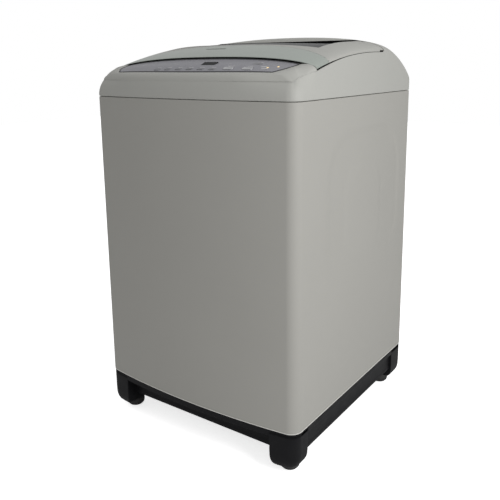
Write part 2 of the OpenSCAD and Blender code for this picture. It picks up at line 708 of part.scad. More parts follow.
module spin_tube() {
  color([0.65, 0.65, 0.67]) difference() {
    union() {
      translate([0, 0, 198]) cylinder(r = spin_r, h = 91);
      translate([0, 0, 275]) cylinder(r = 60, h = 7);
    }
    translate([0, 0, 190]) cylinder(r = shaft_r + run, h = 110);
  }
}

module drive_shaft() {
  color([0.7, 0.7, 0.72]) difference() {
    union() {
      translate([0, 0, 170]) cylinder(r = shaft_r, h = 145);
      translate([0, 0, 168]) cylinder(r = 24, h = 8);
    }
    translate([0, 0, 300]) cylinder(r = 3, h = 20);
  }
}

module grooved_pulley(r, z) {
  translate([0, 0, z]) rotate_extrude($fn = 96) polygon([[0, 0], [r + 6, 0], [r + 6, 2], [r, 4],
    [r, belt_h + 5], [r + 6, belt_h + 7], [r + 6, belt_h + 9], [0, belt_h + 9]]);
}

module drive_pulley() {
  color([0.62, 0.62, 0.64]) {
    difference() {
      grooved_pulley(drive_pulley_r, pulley_z);
      translate([0, 0, pulley_z - 1]) rotate_extrude() polygon([[22, 0], [drive_pulley_r - 8, 0], [drive_pulley_r - 8, 7], [22, 7]]);
      for (a = [0:60:300]) rotate(a) translate([45, 0, pulley_z - 1]) cylinder(r = 14, h = 30);
    }
    translate([0, 0, pulley_z - 6]) cylinder(r = input_r, h = 68);
  }
}

module motor() {
  color([0.45, 0.46, 0.48]) translate([motor_x, 0, 0]) difference() {
    union() {
      translate([0, 0, 128]) cylinder(r = 58, h = 98);
      translate([0, 0, 124]) cylinder(r = 30, h = 4);
      block([-52, 52], [-52, 52], [226, 239.9]);
    }
    translate([0, 0, 100]) cylinder(r = 6 + run, h = 60);
  }
}

module motor_pulley() {
  color([0.62, 0.62, 0.64]) translate([motor_x, 0, 0]) {
    grooved_pulley(motor_pulley_r, pulley_z);
    translate([0, 0, pulley_z - 4]) cylinder(r = 6, h = 60);
  }
}

belt_gap = 0.4;
belt_t = 4;
belt_lean = acos((drive_pulley_r - motor_pulley_r) / abs(motor_x));
belt_steps = 24;
function belt_arc(x, r, a0, a1) = [for (i = [0:belt_steps]) let (a = lerp(a0, a1, i / belt_steps)) [x + r * cos(a), r * sin(a)]];
module belt_outline(d) {
  a = 180 - belt_lean;
  polygon(concat(belt_arc(0, drive_pulley_r + d, -a, a), belt_arc(motor_x, motor_pulley_r + d, a, 360 - a)));
}

module drive_belt() {
  color([0.08, 0.08, 0.08]) translate([0, 0, pulley_z + 4.8]) linear_extrude(belt_h - 0.6) difference() {
    belt_outline(belt_gap + belt_t);
    belt_outline(belt_gap);
  }
}

module mounting_plate() {
  color([0.5, 0.5, 0.5]) difference() {
    union() {
      block([-235, 126], [-60, 60], [240, 246]);
      block([-60, 60], [-150, 150], [240, 246]);
      for (a = [90, 270]) rotate(a) translate([125, 0, 240]) cylinder(r = 12, h = 21.9);
      translate([-215, 0, 240]) cylinder(r = 12, h = 21.9);
      translate([110, 0, 240]) cylinder(r = 12, h = 21.9);
    }
    translate([0, 0, 230]) cylinder(r = neck_r + 0.5, h = 40);
  }
}

// ---- suspension
spring_z = [268, 325];
coil_r = 12;
wire_r = 1.8;
module at_rods() {
  both_sides() for (s = [-1, 1]) translate([rod_pos.x, s * rod_pos.y, 0]) children();
}

module suspension_rods() {
  color([0.7, 0.7, 0.72]) at_rods() {
    translate([0, 0, 255]) cylinder(r = rod_r, h = 592);
    translate([0, 0, 262]) cylinder(r = 15, h = spring_z[0] - 262 - 0.1);
    translate([0, 0, 843]) cylinder(r1 = 7, r2 = 10, h = 8);
  }
}

// One ring of the wire's section per step, joined into a closed tube
module coil(r, wire, z0, z1, turns, steps = 14, sides = 6) {
  n = turns * steps;
  low = z0 + wire;
  rise = z1 - z0 - 2 * wire;
  pts = [for (i = [0:n]) let (a = 360 * i / steps, z = low + rise * i / n) for (j = [0:sides - 1])
    let (b = 360 * j / sides, q = r + wire * cos(b)) [q * cos(a), q * sin(a), z + wire * sin(b)]];
  sides_f = [for (i = [0:n - 1]) for (j = [0:sides - 1]) let (a = i * sides + j, b = i * sides + (j + 1) % sides)
    each [[a, b, b + sides], [a, b + sides, a + sides]]];
  start_f = [for (j = [1:sides - 2]) [0, j + 1, j]];
  end_f = [for (j = [1:sides - 2]) [n * sides, n * sides + j, n * sides + j + 1]];
  polyhedron(points = pts, faces = concat(sides_f, start_f, end_f));
}

module suspension_springs() {
  color([0.75, 0.75, 0.78]) at_rods() coil(coil_r, wire_r, spring_z[0], spring_z[1], spring_turns);
}

module spring_cups() {
  color([0.85, 0.85, 0.83]) at_rods() {
    tube(17, rod_r + 1.5, spring_z[1] + 0.1, lug_z[0]);
    tube(10, rod_r + 1.5, lug_z[1], lug_z[1] + 14);
  }
}

module corner_brackets() {
  color([0.6, 0.6, 0.6]) difference() {
    intersection() {
      translate([0, 0, 838]) linear_extrude(4.8) plan(sheet + 0.2);
      both_sides() for (s = [-1, 1]) translate([rod_pos.x + 20, s * (rod_pos.y + 20), 830]) rotate(45) block([-45, 45], [-45, 45], [0, 20]);
    }
    at_rods() translate([0, 0, 830]) cylinder(r = 5.5, h = 20);
    block([-290, 290], [308, 320], [830, 850]);
  }
}

// ---- drain, sensing and electrical pieces
bellows_z = [206, 246];
bellows_n = 6;
module drain_bellows() {
  step = (bellows_z[1] - bellows_z[0]) / bellows_n;
  color([0.15, 0.15, 0.15]) translate([drain_pos.x, drain_pos.y, bellows_z[0]]) rotate_extrude() polygon(concat(
    [for (i = [0:bellows_n]) each [[19, i * step + (i == 0 ? 0.1 : 0)], if (i < bellows_n) [23, (i + 0.5) * step]]],
    [for (i = [bellows_n:-1:0]) each [if (i < bellows_n) [21, (i + 0.5) * step], [17, i * step + (i == 0 ? 0.1 : 0)]]]));
}

module drain_valve() {
  color([0.82, 0.82, 0.8]) translate([drain_pos.x, drain_pos.y, 0]) {
    difference() {
      translate([0, 0, 150]) cylinder(r = 26, h = 56);
      translate([0, 0, 156]) cylinder(r = 17, h = 60);
    }
    block([20, 96], [-24, 24], [152, 190]);
    block([60, 136], [-14, 14], [146, 152]);
    block([124, 136], [-14, 14], [115.9, 152]);
  }
}

drain_hose_r = 12.5;
drain_spigot_r = 14;
drain_spigot_y = [295, 311];
module drain_hose() {
  color([0.25, 0.25, 0.25]) {
    translate([drain_pos.x, drain_pos.y + 26, 178]) rotate([-90, 0, 0]) cylinder(r = drain_hose_r, h = 244);
    translate([drain_pos.x, drain_pos.y + 270, 178]) sphere(r = drain_hose_r);
    translate([-206, drain_pos.y + 270, 178]) rotate([0, 90, 0]) cylinder(r = drain_hose_r, h = drain_pos.x + 206);
    translate([-206, drain_pos.y + 270, 178]) sphere(r = drain_hose_r);
    translate([-206, 0, 178]) rotate([-90, 0, 0]) difference() {
      union() {
        translate([0, 0, drain_pos.y + 270]) cylinder(r = drain_hose_r, h = drain_spigot_y[0] - drain_pos.y - 269);
        translate([0, 0, drain_spigot_y[0]]) cylinder(r = drain_spigot_r, h = drain_spigot_y[1] - drain_spigot_y[0]);
      }
      translate([0, 0, 280]) cylinder(r = 10, h = 40);
    }
  }
}

module pressure_switch() {
  color([0.9, 0.9, 0.88]) translate([60, 195, 915]) {
    cylinder(r = 24, h = 22);
    translate([0, 0, 22]) cylinder(r = 10, h = 6);
    translate([20, 0, 6]) rotate([0, 90, 0]) cylinder(r = 4, h = 14);
  }
}

module capacitor() {
  color([0.8, 0.8, 0.82]) {
    translate([200, 215, 130]) cylinder(r = 20, h = 80);
    translate([200, 215, 115.9]) cylinder(r = 12, h = 14.1);
    block([188, 262], [203, 227], [115.9, 118]);
  }
}

module cord_gland() {
  color([0.08, 0.08, 0.08]) translate([-120, 0, 770]) rotate([-90, 0, 0]) translate([0, 0, panel_y - 12]) difference() {
    union() {
      cylinder(r = 8.8, h = 13);
      cylinder(r = 12, h = 12 - sheet - 0.1);
    }
    translate([0, 0, -1]) cylinder(r = 4.2, h = 20);
  }
}

cabinet();
rear_panel();
base_frame();
top_cover();
rear_hood();
loading_tray();
control_panel();
display_window();
control_board();
key_1();
key_2();
key_3();
key_4();
key_5();
key_6();
option_key();
power_button();
start_button();
lid_frame();
lid_front();
lid_window();
hinge_pins();
hinge_brackets();
lid_bumpers();
inlet_valve();
inlet_duct();
dispenser_housing();
dispenser_drawer();
outer_tub();
tub_cover();
basket();
basket_base();
balance_ring();
pulsator();
pulsator_screw();
lint_filters();
gearcase();
tub_bearings();
tub_seal();
spin_tube();
drive_shaft();
drive_pulley();
motor();
motor_pulley();
drive_belt();
mounting_plate();
suspension_rods();
suspension_springs();
spring_cups();
corner_brackets();
drain_valve();
drain_bellows();
drain_hose();
pressure_switch();
capacitor();
cord_gland();
front_foot_left();
front_foot_right();
rear_feet();
cabinet_screws();
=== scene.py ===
"""Looks of a top load washing machine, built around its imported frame."""

import json
import math

import bmesh
import bpy
import numpy as np
from mathutils import Matrix, Vector


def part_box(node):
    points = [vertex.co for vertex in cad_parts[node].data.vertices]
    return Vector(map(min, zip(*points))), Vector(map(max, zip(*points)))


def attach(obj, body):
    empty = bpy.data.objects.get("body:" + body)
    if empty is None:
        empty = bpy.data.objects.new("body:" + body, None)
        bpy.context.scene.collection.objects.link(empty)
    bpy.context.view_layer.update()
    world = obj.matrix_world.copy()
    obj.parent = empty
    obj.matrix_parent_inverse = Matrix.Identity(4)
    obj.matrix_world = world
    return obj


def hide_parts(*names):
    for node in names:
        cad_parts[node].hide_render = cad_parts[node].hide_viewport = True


bl_info = {
    "name": "Top load washing machine",
    "version": (1, 0, 0),
    "blender": (4, 5, 0),
    "location": "View3D > Sidebar > Washer",
    "description": "Builds the skins, fittings and finishes of a top load washing machine",
    "category": "Add Mesh",
}

MM = 0.001
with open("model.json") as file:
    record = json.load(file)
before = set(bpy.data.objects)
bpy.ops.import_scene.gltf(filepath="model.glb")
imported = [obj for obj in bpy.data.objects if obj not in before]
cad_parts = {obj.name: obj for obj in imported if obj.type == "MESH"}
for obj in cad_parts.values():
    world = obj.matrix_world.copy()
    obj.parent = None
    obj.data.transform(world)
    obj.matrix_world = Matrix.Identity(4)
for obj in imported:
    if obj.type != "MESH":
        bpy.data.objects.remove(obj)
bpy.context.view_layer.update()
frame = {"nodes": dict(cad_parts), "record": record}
NODES = frame["nodes"]


# ---------------------------------------------------------------- settings


class WasherSizes(bpy.types.PropertyGroup):
    """Driving sizes of the machine, in millimetres like the drawing."""

    half_w: bpy.props.FloatProperty(
        name="Half width", description="Half of the overall width", default=300.0)
    half_d: bpy.props.FloatProperty(
        name="Half depth", description="Half of the overall depth", default=315.5)
    cabinet_z0: bpy.props.FloatProperty(
        name="Cabinet bottom", description="Height of the lower hem", default=116.0)
    cabinet_z1: bpy.props.FloatProperty(
        name="Cabinet top", description="Height of the joint with the top cover", default=862.0)
    front_corner: bpy.props.FloatProperty(
        name="Front corner", description="Radius of the front corners", default=30.0)
    rear_corner: bpy.props.FloatProperty(
        name="Rear corner", description="Radius of the rear corners", default=25.0)
    bow: bpy.props.FloatProperty(
        name="Front bow", description="Radius of the bowed front", default=2075.0)
    sheet: bpy.props.FloatProperty(
        name="Sheet", description="Thickness of the cabinet's steel", default=1.2)
    pressing_depth: bpy.props.FloatProperty(
        name="Pressing depth", description="Depth of the side pressings", default=2.6)
    basket_r: bpy.props.FloatProperty(
        name="Basket radius", description="Outer radius of the perforated wall", default=239.0)
    pulsator_r: bpy.props.FloatProperty(
        name="Pulsator radius", description="Outer radius of the pulsator", default=205.0)


class WasherColours(bpy.types.PropertyGroup):
    """Colours of the outer pieces."""

    cabinet: bpy.props.FloatVectorProperty(
        name="Cabinet", description="Enamel of the cabinet",
        subtype="COLOR", size=4, default=(0.30, 0.295, 0.275, 1))
    cover: bpy.props.FloatVectorProperty(
        name="Cover", description="Moulded covers",
        subtype="COLOR", size=4, default=(0.33, 0.33, 0.31, 1))
    grip: bpy.props.FloatVectorProperty(
        name="Grip", description="Front section of the lid",
        subtype="COLOR", size=4, default=(0.27, 0.30, 0.27, 1))
    panel: bpy.props.FloatVectorProperty(
        name="Panel", description="Control panel",
        subtype="COLOR", size=4, default=(0.19, 0.188, 0.21, 1))
    base: bpy.props.FloatVectorProperty(
        name="Base", description="Moulded base",
        subtype="COLOR", size=4, default=(0.005, 0.005, 0.006, 1))


def sizes():
    return bpy.context.scene.washer_sizes


def colours():
    return bpy.context.scene.washer_colours


# ---------------------------------------------------------------- the crowned top, in millimetres

SHOULDER_Z = (902.0, 963.0)
CROWN_Z = (921.0, 1006.6)
SHOULDER_Y = 126.0
CROWN_Y = 161.0
CREASE_Y0 = -289.0
ROLL = 26.0
PANEL_HALF = 226.0
LID_SIDE = 297.5
LID_FLAT = 985.0
LID_REAR_Y = 119.0
HOOD_Y = 124.0
HOOD_GAP_Z = 995.0
WINDOW_HALF = 235.0
WINDOW_Y = (-96.0, 105.0)
COVER_SPLIT_Y = -216.0


def lerp(a, b, t):
    return a + (b - a) * t


def smooth(a, b, t):
    """Soft step from 0 at a to 1 at b."""
    k = np.clip((t - a) / (b - a), 0, 1)
    return k * k * (3 - 2 * k)


def power_roll(t, p):
    """Falls from 1 at t = 0 to 0 at t = 1 along a rounded curve."""
    return np.maximum(0, 1 - np.clip(t, 0, 1) ** p) ** (1 / p)


def corner_geometry():
    """Centre of the bow, then the centres of the front and rear corners."""
    s = sizes()
    bow_y = -s.half_d + s.bow
    fx = s.half_w - s.front_corner
    fy = bow_y - math.sqrt((s.bow - s.front_corner) ** 2 - fx * fx)
    return bow_y, fx, fy, s.half_w - s.rear_corner, s.half_d - s.rear_corner


def rise_and_fall(y, heights, y_top, front_power, rear_power):
    """A line along the machine: up from the crease at the front to its top, then rolled down to the joint."""
    s = sizes()
    low, high = heights
    ahead = np.maximum(y_top - np.maximum(y, CREASE_Y0), 0) / (y_top - CREASE_Y0)
    front = high - (high - low) * ahead**front_power
    rear = s.cabinet_z1 + (high - s.cabinet_z1) * power_roll((y - y_top) / (s.half_d - y_top), rear_power)
    return np.where(y < y_top, front, rear)


def shoulder(y):
    """Height of the cover's edge at the sides."""
    return rise_and_fall(y, SHOULDER_Z, SHOULDER_Y, 2.37, 1.6)


def crown(y):
    """Height of the cover along the middle."""
    return rise_and_fall(y, CROWN_Z, CROWN_Y, 2.4, 1.5)


def side_x(y):
    """Half width of the outline at y."""
    s = sizes()
    _, fx, fy, rx, ry = corner_geometry()
    front = fx + np.sqrt(np.maximum(1, s.front_corner**2 - (y - fy) ** 2))
    rear = rx + np.sqrt(np.maximum(1, s.rear_corner**2 - (y - ry) ** 2))
    return np.where(y < fy, front, np.where(y > ry, rear, s.half_w))


def front_y(x):
    """Front of the outline at x: bowed, with round corners."""
    s = sizes()
    bow_y, fx, fy, _, _ = corner_geometry()
    a = np.abs(x)
    bowed = bow_y - np.sqrt(s.bow**2 - a * a)
    corner = fy - np.sqrt(np.maximum(0, s.front_corner**2 - (np.minimum(a, s.half_w) - fx) ** 2))
    return np.where(a <= fx + 3.9, bowed, corner)


def top_z(x, y):
    """Height of the crowned top, rolled over at the front and the sides."""
    v = np.clip((y - front_y(x)) / ROLL, 0, 1)
    rolled = np.sqrt(np.maximum(0, 1 - (1 - v) ** 2))
    return shoulder(y) + (crown(y) - shoulder(y)) * power_roll(np.abs(x) / side_x(y), 2.2) * rolled


def panel_front(x):
    return -289 + 13.5 * (x / 240) ** 2


def lid_edge(x):
    return -203 - 12 * (x / LID_SIDE) ** 4


def grip_edge(x):
    return -103 - 58 * (np.abs(x) / LID_SIDE) ** 2.6


def panel_side(v):
    """Half width of the control panel, from its front (0) to the lid (1)."""
    return PANEL_HALF + 31 * (1 - (1 - v) ** 3)


def hood_z(x, y):
    """The hood's skin: rolled down to a dark gap where it faces the window, flush with the lid beside it."""
    z = top_z(x, y)
    back = np.clip((y - HOOD_Y) / 34.0, 0, 1)
    roll = 1 - np.sqrt(np.maximum(0, 1 - (1 - back) ** 2))
    return z - np.maximum(z - HOOD_GAP_Z, 0) * roll * (1 - smooth(215, 243, np.abs(x)))


def lid_z(x, y):
    """The lid's skin: it follows the top, but is level inside the window."""
    s = top_z(x, y)
    inside = 1 - smooth(WINDOW_HALF - 13, WINDOW_HALF + 5, np.abs(x))
    return s + (LID_FLAT - s) * smooth(-100, 60, y) * inside


# ---------------------------------------------------------------- mesh helpers


def new_object(name, verts, faces):
    """Mesh object in the scene, from points in metres."""
    mesh = bpy.data.meshes.new(name)
    mesh.from_pydata([tuple(v) for v in verts], [], faces)
    mesh.validate()
    obj = bpy.data.objects.new(name, mesh)
    bpy.context.scene.collection.objects.link(obj)
    return obj


def loft(name, grid, close_u=False, close_v=False):
    """Quads over a grid of points (u, v, xyz) in millimetres, with end caps if only the section is closed."""
    nu, nv = grid.shape[:2]
    verts = (grid.reshape(-1, 3) * MM).tolist()
    faces = []
    for i in range(nu if close_u else nu - 1):
        for j in range(nv if close_v else nv - 1):
            a, b = i * nv + j, ((i + 1) % nu) * nv + j
            c, d = ((i + 1) % nu) * nv + (j + 1) % nv, i * nv + (j + 1) % nv
            faces.append((a, b, c, d))
    if close_v and not close_u:
        faces.append(tuple(range(nv)))
        faces.append(tuple((nu - 1) * nv + j for j in reversed(range(nv))))
    return new_object(name, verts, faces)


def skin(name, x, y, z, low, ring=False):
    """Closed slab: the upper side at (x, y, z), the underside at low, walls round the rim."""
    upper = np.stack([x, y, z], -1)
    rows = np.concatenate([upper, low[:, ::-1]], axis=1)
    obj = loft(name, rows, close_u=ring, close_v=True)
    if not ring:
        return recap(obj, upper.shape[0], rows.shape[1])
    return obj


def recap(obj, nu, nv):
    """Swaps the two large end caps for a strip of quads, which a curved end needs."""
    mesh = obj.data
    faces = [tuple(p.vertices) for p in mesh.polygons if len(p.vertices) <= 4]
    for row, flip in ((0, False), (nu - 1, True)):
        ids = [row * nv + j for j in range(nv)]
        for j in range(nv // 2 - 1):
            quad = (ids[j], ids[j + 1], ids[nv - 2 - j], ids[nv - 1 - j])
            faces.append(tuple(reversed(quad)) if flip else quad)
    verts = [tuple(v.co) for v in mesh.vertices]
    mesh.clear_geometry()
    mesh.from_pydata(verts, [], faces)
    return obj


def tidy_normals(obj):
    """Turns all faces outward."""
    bm = bmesh.new()
    bm.from_mesh(obj.data)
    bmesh.ops.recalc_face_normals(bm, faces=bm.faces)
    bm.to_mesh(obj.data)
    bm.free()


def soften(obj, width=0.8, angle=38, segments=2, weld=False):
    """Rounds the sharp edges and keeps the wide faces flat in shading."""
    if weld:
        obj.modifiers.new("weld", "WELD").merge_threshold = 0.00002
    bevel = obj.modifiers.new("bevel", "BEVEL")
    bevel.width = width * MM
    bevel.segments = segments
    bevel.limit_method = "ANGLE"
    bevel.angle_limit = math.radians(angle)
    bevel.use_clamp_overlap = True
    obj.modifiers.new("normals", "WEIGHTED_NORMAL").keep_sharp = True
    for p in obj.data.polygons:
        p.use_smooth = True


def finish_piece(obj, body, look, replaces=(), width=0.8, angle=38):
    """Rounds the edges, gives the piece its finish and slot, and lets it ride its body."""
    tidy_normals(obj)
    soften(obj, width, angle)
    obj.data.materials.clear()
    obj.data.materials.append(look)
    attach(obj, body)
    if replaces:
        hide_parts(*replaces)
    return obj


def join(name, objects):
    """One object from several meshes."""
    bm = bmesh.new()
    for o in objects:
        bm.from_mesh(o.data)
        bpy.data.objects.remove(o)
    mesh = bpy.data.meshes.new(name)
    bm.to_mesh(mesh)
    bm.free()
    obj = bpy.data.objects.new(name, mesh)
    bpy.context.scene.collection.objects.link(obj)
    return obj


def cut(obj, cutters):
    """Takes the cutters out of obj and removes them."""
    tidy_normals(obj)
    tool = join("cutter", cutters)
    tidy_normals(tool)
    mod = obj.modifiers.new("cut", "BOOLEAN")
    mod.operation = "DIFFERENCE"
    mod.solver = "EXACT"
    mod.object = tool
    bpy.context.view_layer.update()
    evaluated = obj.evaluated_get(bpy.context.evaluated_depsgraph_get())
    mesh = bpy.data.meshes.new_from_object(evaluated)
    obj.modifiers.clear()
    obj.data = mesh
    bpy.data.objects.remove(tool)


def prism(name, outline, z0, z1, matrix=None):
    """Upright prism over an outline in millimetres."""
    n = len(outline)
    verts = [(x * MM, y * MM, z * MM) for z in (z0, z1) for x, y in outline]
    faces = [tuple(reversed(range(n))), tuple(range(n, 2 * n))]
    faces += [(i, (i + 1) % n, n + (i + 1) % n, n + i) for i in range(n)]
    obj = new_object(name, verts, faces)
    if matrix is not None:
        obj.data.transform(matrix)
    return obj


def slot_outline(width, depth, grow=0.0, steps=12):
    """Outline of a bar with round ends."""
    r = depth / 2 + grow
    half = (width - depth) / 2
    angles = np.linspace(-90, 90, steps + 1)
    right = [(half + r * math.cos(math.radians(a)), r * math.sin(math.radians(a))) for a in angles]
    left = [(-x, -y) for x, y in right]
    return right + left


def box_outline(half_x, half_y, radius=1.5, steps=4):
    """Outline of a rectangle with round corners."""
    points = []
    for cx, cy, start in ((1, 1, 0), (-1, 1, 90), (-1, -1, 180), (1, -1, 270)):
        for k in range(steps + 1):
            a = math.radians(start + 90 * k / steps)
            x = cx * (half_x - radius) + radius * math.cos(a)
            y = cy * (half_y - radius) + radius * math.sin(a)
            points.append((x, y))
    return points


# ---------------------------------------------------------------- shader node groups


def group_with(name, inputs, outputs):
    """Empty shader node group with the sockets asked for."""
    tree = bpy.data.node_groups.new(name, "ShaderNodeTree")
    for label, kind, value in inputs:
        socket = tree.interface.new_socket(label, in_out="INPUT", socket_type=kind)
        if value is not None:
            socket.default_value = value
    for label, kind in outputs:
        tree.interface.new_socket(label, in_out="OUTPUT", socket_type=kind)
    return tree, tree.nodes.new("NodeGroupInput"), tree.nodes.new("NodeGroupOutput")


def maths(tree, operation, a, b=None):
    """Math node; each operand is a number or an output socket."""
    node = tree.nodes.new("ShaderNodeMath")
    node.operation = operation
    for index, value in enumerate((a, b)):
        if value is None:
            continue
        if isinstance(value, (int, float)):
            node.inputs[index].default_value = value
        else:
            tree.links.new(value, node.inputs[index])
    return node.outputs[0]


def noise(tree, scale, detail=3.0, stretch=None):
    """Noise over the object's own coordinates."""
    coords = tree.nodes.new("ShaderNodeTexCoord").outputs["Object"]
    if stretch:
        mapping = tree.nodes.new("ShaderNodeMapping")
        mapping.inputs["Scale"].default_value = stretch
        tree.links.new(coords, mapping.inputs["Vector"])
        coords = mapping.outputs["Vector"]
    node = tree.nodes.new("ShaderNodeTexNoise")
    tree.links.new(coords, node.inputs["Vector"])
    if isinstance(scale, (int, float)):
        node.inputs["Scale"].default_value = scale
    else:
        tree.links.new(scale, node.inputs["Scale"])
    node.inputs["Detail"].default_value = detail
    return node.outputs["Fac"]


def grain_group():
    """Fine moulded or sprayed grain: a height, and a tone that drifts slowly over the surface."""
    tree, given, out = group_with(
        "surface_grain",
        [("Scale", "NodeSocketFloat", 900.0),
         ("Drift Scale", "NodeSocketFloat", 5.0),
         ("Drift", "NodeSocketFloat", 0.04)],
        [("Height", "NodeSocketFloat"), ("Tone", "NodeSocketFloat")])
    tree.links.new(noise(tree, given.outputs["Scale"], 2.0), out.inputs["Height"])
    slow = maths(tree, "SUBTRACT", noise(tree, given.outputs["Drift Scale"], 4.0), 0.5)
    drift = maths(tree, "MULTIPLY", slow, given.outputs["Drift"])
    tree.links.new(maths(tree, "ADD", drift, 1.0), out.inputs["Tone"])
    return tree


def wear_group():
    """Mask that is bright on worn, rounded edges and broken up by noise."""
    tree, given, out = group_with(
        "edge_wear",
        [("Amount", "NodeSocketFloat", 0.3), ("Breakup Scale", "NodeSocketFloat", 60.0)],
        [("Mask", "NodeSocketFloat")])
    pointy = tree.nodes.new("ShaderNodeNewGeometry").outputs["Pointiness"]
    ramp = tree.nodes.new("ShaderNodeMapRange")
    ramp.inputs["From Min"].default_value = 0.52
    ramp.inputs["From Max"].default_value = 0.60
    tree.links.new(pointy, ramp.inputs["Value"])
    broken = maths(tree, "MULTIPLY", ramp.outputs["Result"], noise(tree, given.outputs["Breakup Scale"], 5.0))
    tree.links.new(maths(tree, "MULTIPLY", broken, given.outputs["Amount"]), out.inputs["Mask"])
    return tree


def dust_group():
    """Mask of settled dust on faces that look up."""
    tree, given, out = group_with(
        "settled_dust", [("Amount", "NodeSocketFloat", 0.15)], [("Mask", "NodeSocketFloat")])
    normal = tree.nodes.new("ShaderNodeSeparateXYZ")
    tree.links.new(tree.nodes.new("ShaderNodeNewGeometry").outputs["Normal"], normal.inputs["Vector"])
    up = maths(tree, "MAXIMUM", normal.outputs["Z"], 0.0)
    patchy = maths(tree, "MULTIPLY", up, noise(tree, 14.0, 6.0))
    tree.links.new(maths(tree, "MULTIPLY", patchy, given.outputs["Amount"]), out.inputs["Mask"])
    return tree


GROUPS = {}


def place_group(tree, kind, **values):
    """Places one of the shared groups in a material with its own values."""
    makers = {"grain": grain_group, "wear": wear_group, "dust": dust_group}
    if kind not in GROUPS:
        GROUPS[kind] = makers[kind]()
    node = tree.nodes.new("ShaderNodeGroup")
    node.node_tree = GROUPS[kind]
    for label, value in values.items():
        node.inputs[label.replace("_", " ")].default_value = value
    return node


# ---------------------------------------------------------------- materials

# Each finish: base colour or the name of one of the machine's colours, metallic share, roughness and how far
# it spreads, grain scale and height in mm, drift of the tone, and what else it has, such as wear or a coat.
FINISHES = {
    "cabinet_paint": dict(
        base="cabinet",
        rough=0.52, spread=0.10, scale=420, height=0.012, drift=0.05, shine=0.14),
    "rear_sheet": dict(
        base=(0.43, 0.44, 0.44), metal=0.85,
        rough=0.42, spread=0.2, scale=60, height=0.01, drift=0.25, pattern="spangle"),
    "base_plastic": dict(
        base="base",
        rough=0.55, spread=0.14, scale=1400, height=0.05, drift=0.3, wear=0.03, shine=0.12),
    "cover_plastic": dict(
        base="cover",
        rough=0.5, spread=0.10, scale=1100, height=0.012, drift=0.04, shine=0.16),
    "tray_plastic": dict(
        base=(0.62, 0.62, 0.60),
        rough=0.35, spread=0.1, scale=800, height=0.01, drift=0.05, dust=0.05),
    "panel_plastic": dict(
        base="panel", metal=0.35,
        rough=0.36, spread=0.12, scale=2600, height=0.01, drift=0.06, pattern="flake"),
    "trim": dict(
        base=(0.020, 0.020, 0.022),
        rough=0.4, spread=0.1, scale=900, height=0.004, drift=0.1, shine=0.3),
    "display_glass": dict(
        base=(0.004, 0.004, 0.005),
        rough=0.3, spread=0.04, scale=300, height=0.001, drift=0.05, shine=0.05),
    "board": dict(
        base=(0.02, 0.16, 0.06),
        rough=0.35, spread=0.1, scale=500, height=0.01, drift=0.2, coat=0.3),
    "key_plastic": dict(
        base=(0.17, 0.17, 0.18), metal=0.25,
        rough=0.30, spread=0.1, scale=1500, height=0.006, drift=0.05),
    "button_plastic": dict(
        base=(0.34, 0.34, 0.35), metal=0.3,
        rough=0.26, spread=0.1, scale=1500, height=0.005, drift=0.05),
    "lid_plastic": dict(
        base="cover",
        rough=0.5, spread=0.10, scale=1100, height=0.012, drift=0.04, shine=0.16),
    "grip_plastic": dict(
        base="grip", metal=0.25,
        rough=0.34, spread=0.12, scale=3000, height=0.01, drift=0.05, pattern="flake", coat=0.2),
    "window_glass": dict(
        base=(0.03, 0.031, 0.032),
        rough=0.3, spread=0.04, scale=40, height=0.002, drift=0.05, shine=0.12, alpha=0.93),
    "steel": dict(
        base=(0.56, 0.57, 0.58), metal=1.0,
        rough=0.32, spread=0.15, scale=300, height=0.01, drift=0.1, pattern="brushed", wear=0.1),
    "rubber": dict(
        base=(0.018, 0.018, 0.018),
        rough=0.75, spread=0.15, scale=700, height=0.05, drift=0.4, dust=0.03),
    "white_plastic": dict(
        base=(0.66, 0.66, 0.63),
        rough=0.45, spread=0.1, scale=900, height=0.02, drift=0.08, dust=0.04),
    "drawer_plastic": dict(
        base=(0.10, 0.17, 0.32),
        rough=0.28, spread=0.1, scale=600, height=0.01, drift=0.1, alpha=0.88),
    "tub_plastic": dict(
        base=(0.55, 0.57, 0.59),
        rough=0.5, spread=0.12, scale=500, height=0.03, drift=0.12),
    "basket_steel": dict(
        base=(0.60, 0.61, 0.63), metal=1.0,
        rough=0.24, spread=0.14, scale=260, height=0.006, drift=0.08, pattern="brushed"),
    "ring_plastic": dict(
        base=(0.66, 0.67, 0.69),
        rough=0.3, spread=0.1, scale=800, height=0.01, drift=0.05),
    "pulsator_plastic": dict(
        base=(0.50, 0.54, 0.60), metal=0.15,
        rough=0.28, spread=0.1, scale=1800, height=0.008, drift=0.06, pattern="flake"),
    "cast_alloy": dict(
        base=(0.50, 0.50, 0.51), metal=0.9,
        rough=0.5, spread=0.2, scale=350, height=0.12, drift=0.2, wear=0.25),
    "motor_paint": dict(
        base=(0.13, 0.14, 0.15), metal=0.2,
        rough=0.45, spread=0.15, scale=250, height=0.06, drift=0.25, wear=0.2),
    "plate_steel": dict(
        base=(0.22, 0.22, 0.23), metal=0.7,
        rough=0.5, spread=0.2, scale=200, height=0.05, drift=0.25, wear=0.35),
    "belt": dict(base=(0.02, 0.02, 0.02), rough=0.8, spread=0.15, scale=1200, height=0.08, drift=0.3),
    "hose": dict(base=(0.03, 0.03, 0.032), rough=0.55, spread=0.15, scale=500, height=0.03, drift=0.3),
    "lamp": dict(
        base=(0.75, 0.55, 0.25),
        rough=0.3, spread=0.05, scale=900, height=0.004, drift=0.05, glow=0.6),
    "legend": dict(base=(0.5, 0.5, 0.5), rough=0.5, spread=0.1, scale=900, height=0.004, drift=0.05),
    # painted highlight: light colour of the bead that stands in for light caught on the cabinet's lower edge
    "hem": dict(base=(0.62, 0.61, 0.58), rough=0.35, spread=0.1, scale=600, height=0.004, drift=0.05),
    # painted shade: near-black of the strips set in the lid's and hood's gaps, where only shadow falls
    "dark_gap": dict(
        base=(0.004, 0.004, 0.004),
        rough=0.9, spread=0.05, scale=300, height=0.01, drift=0.1, shine=0.0),
}
BRUSH_STRETCH = (1.0, 1.0, 0.04)
MATERIALS = {}


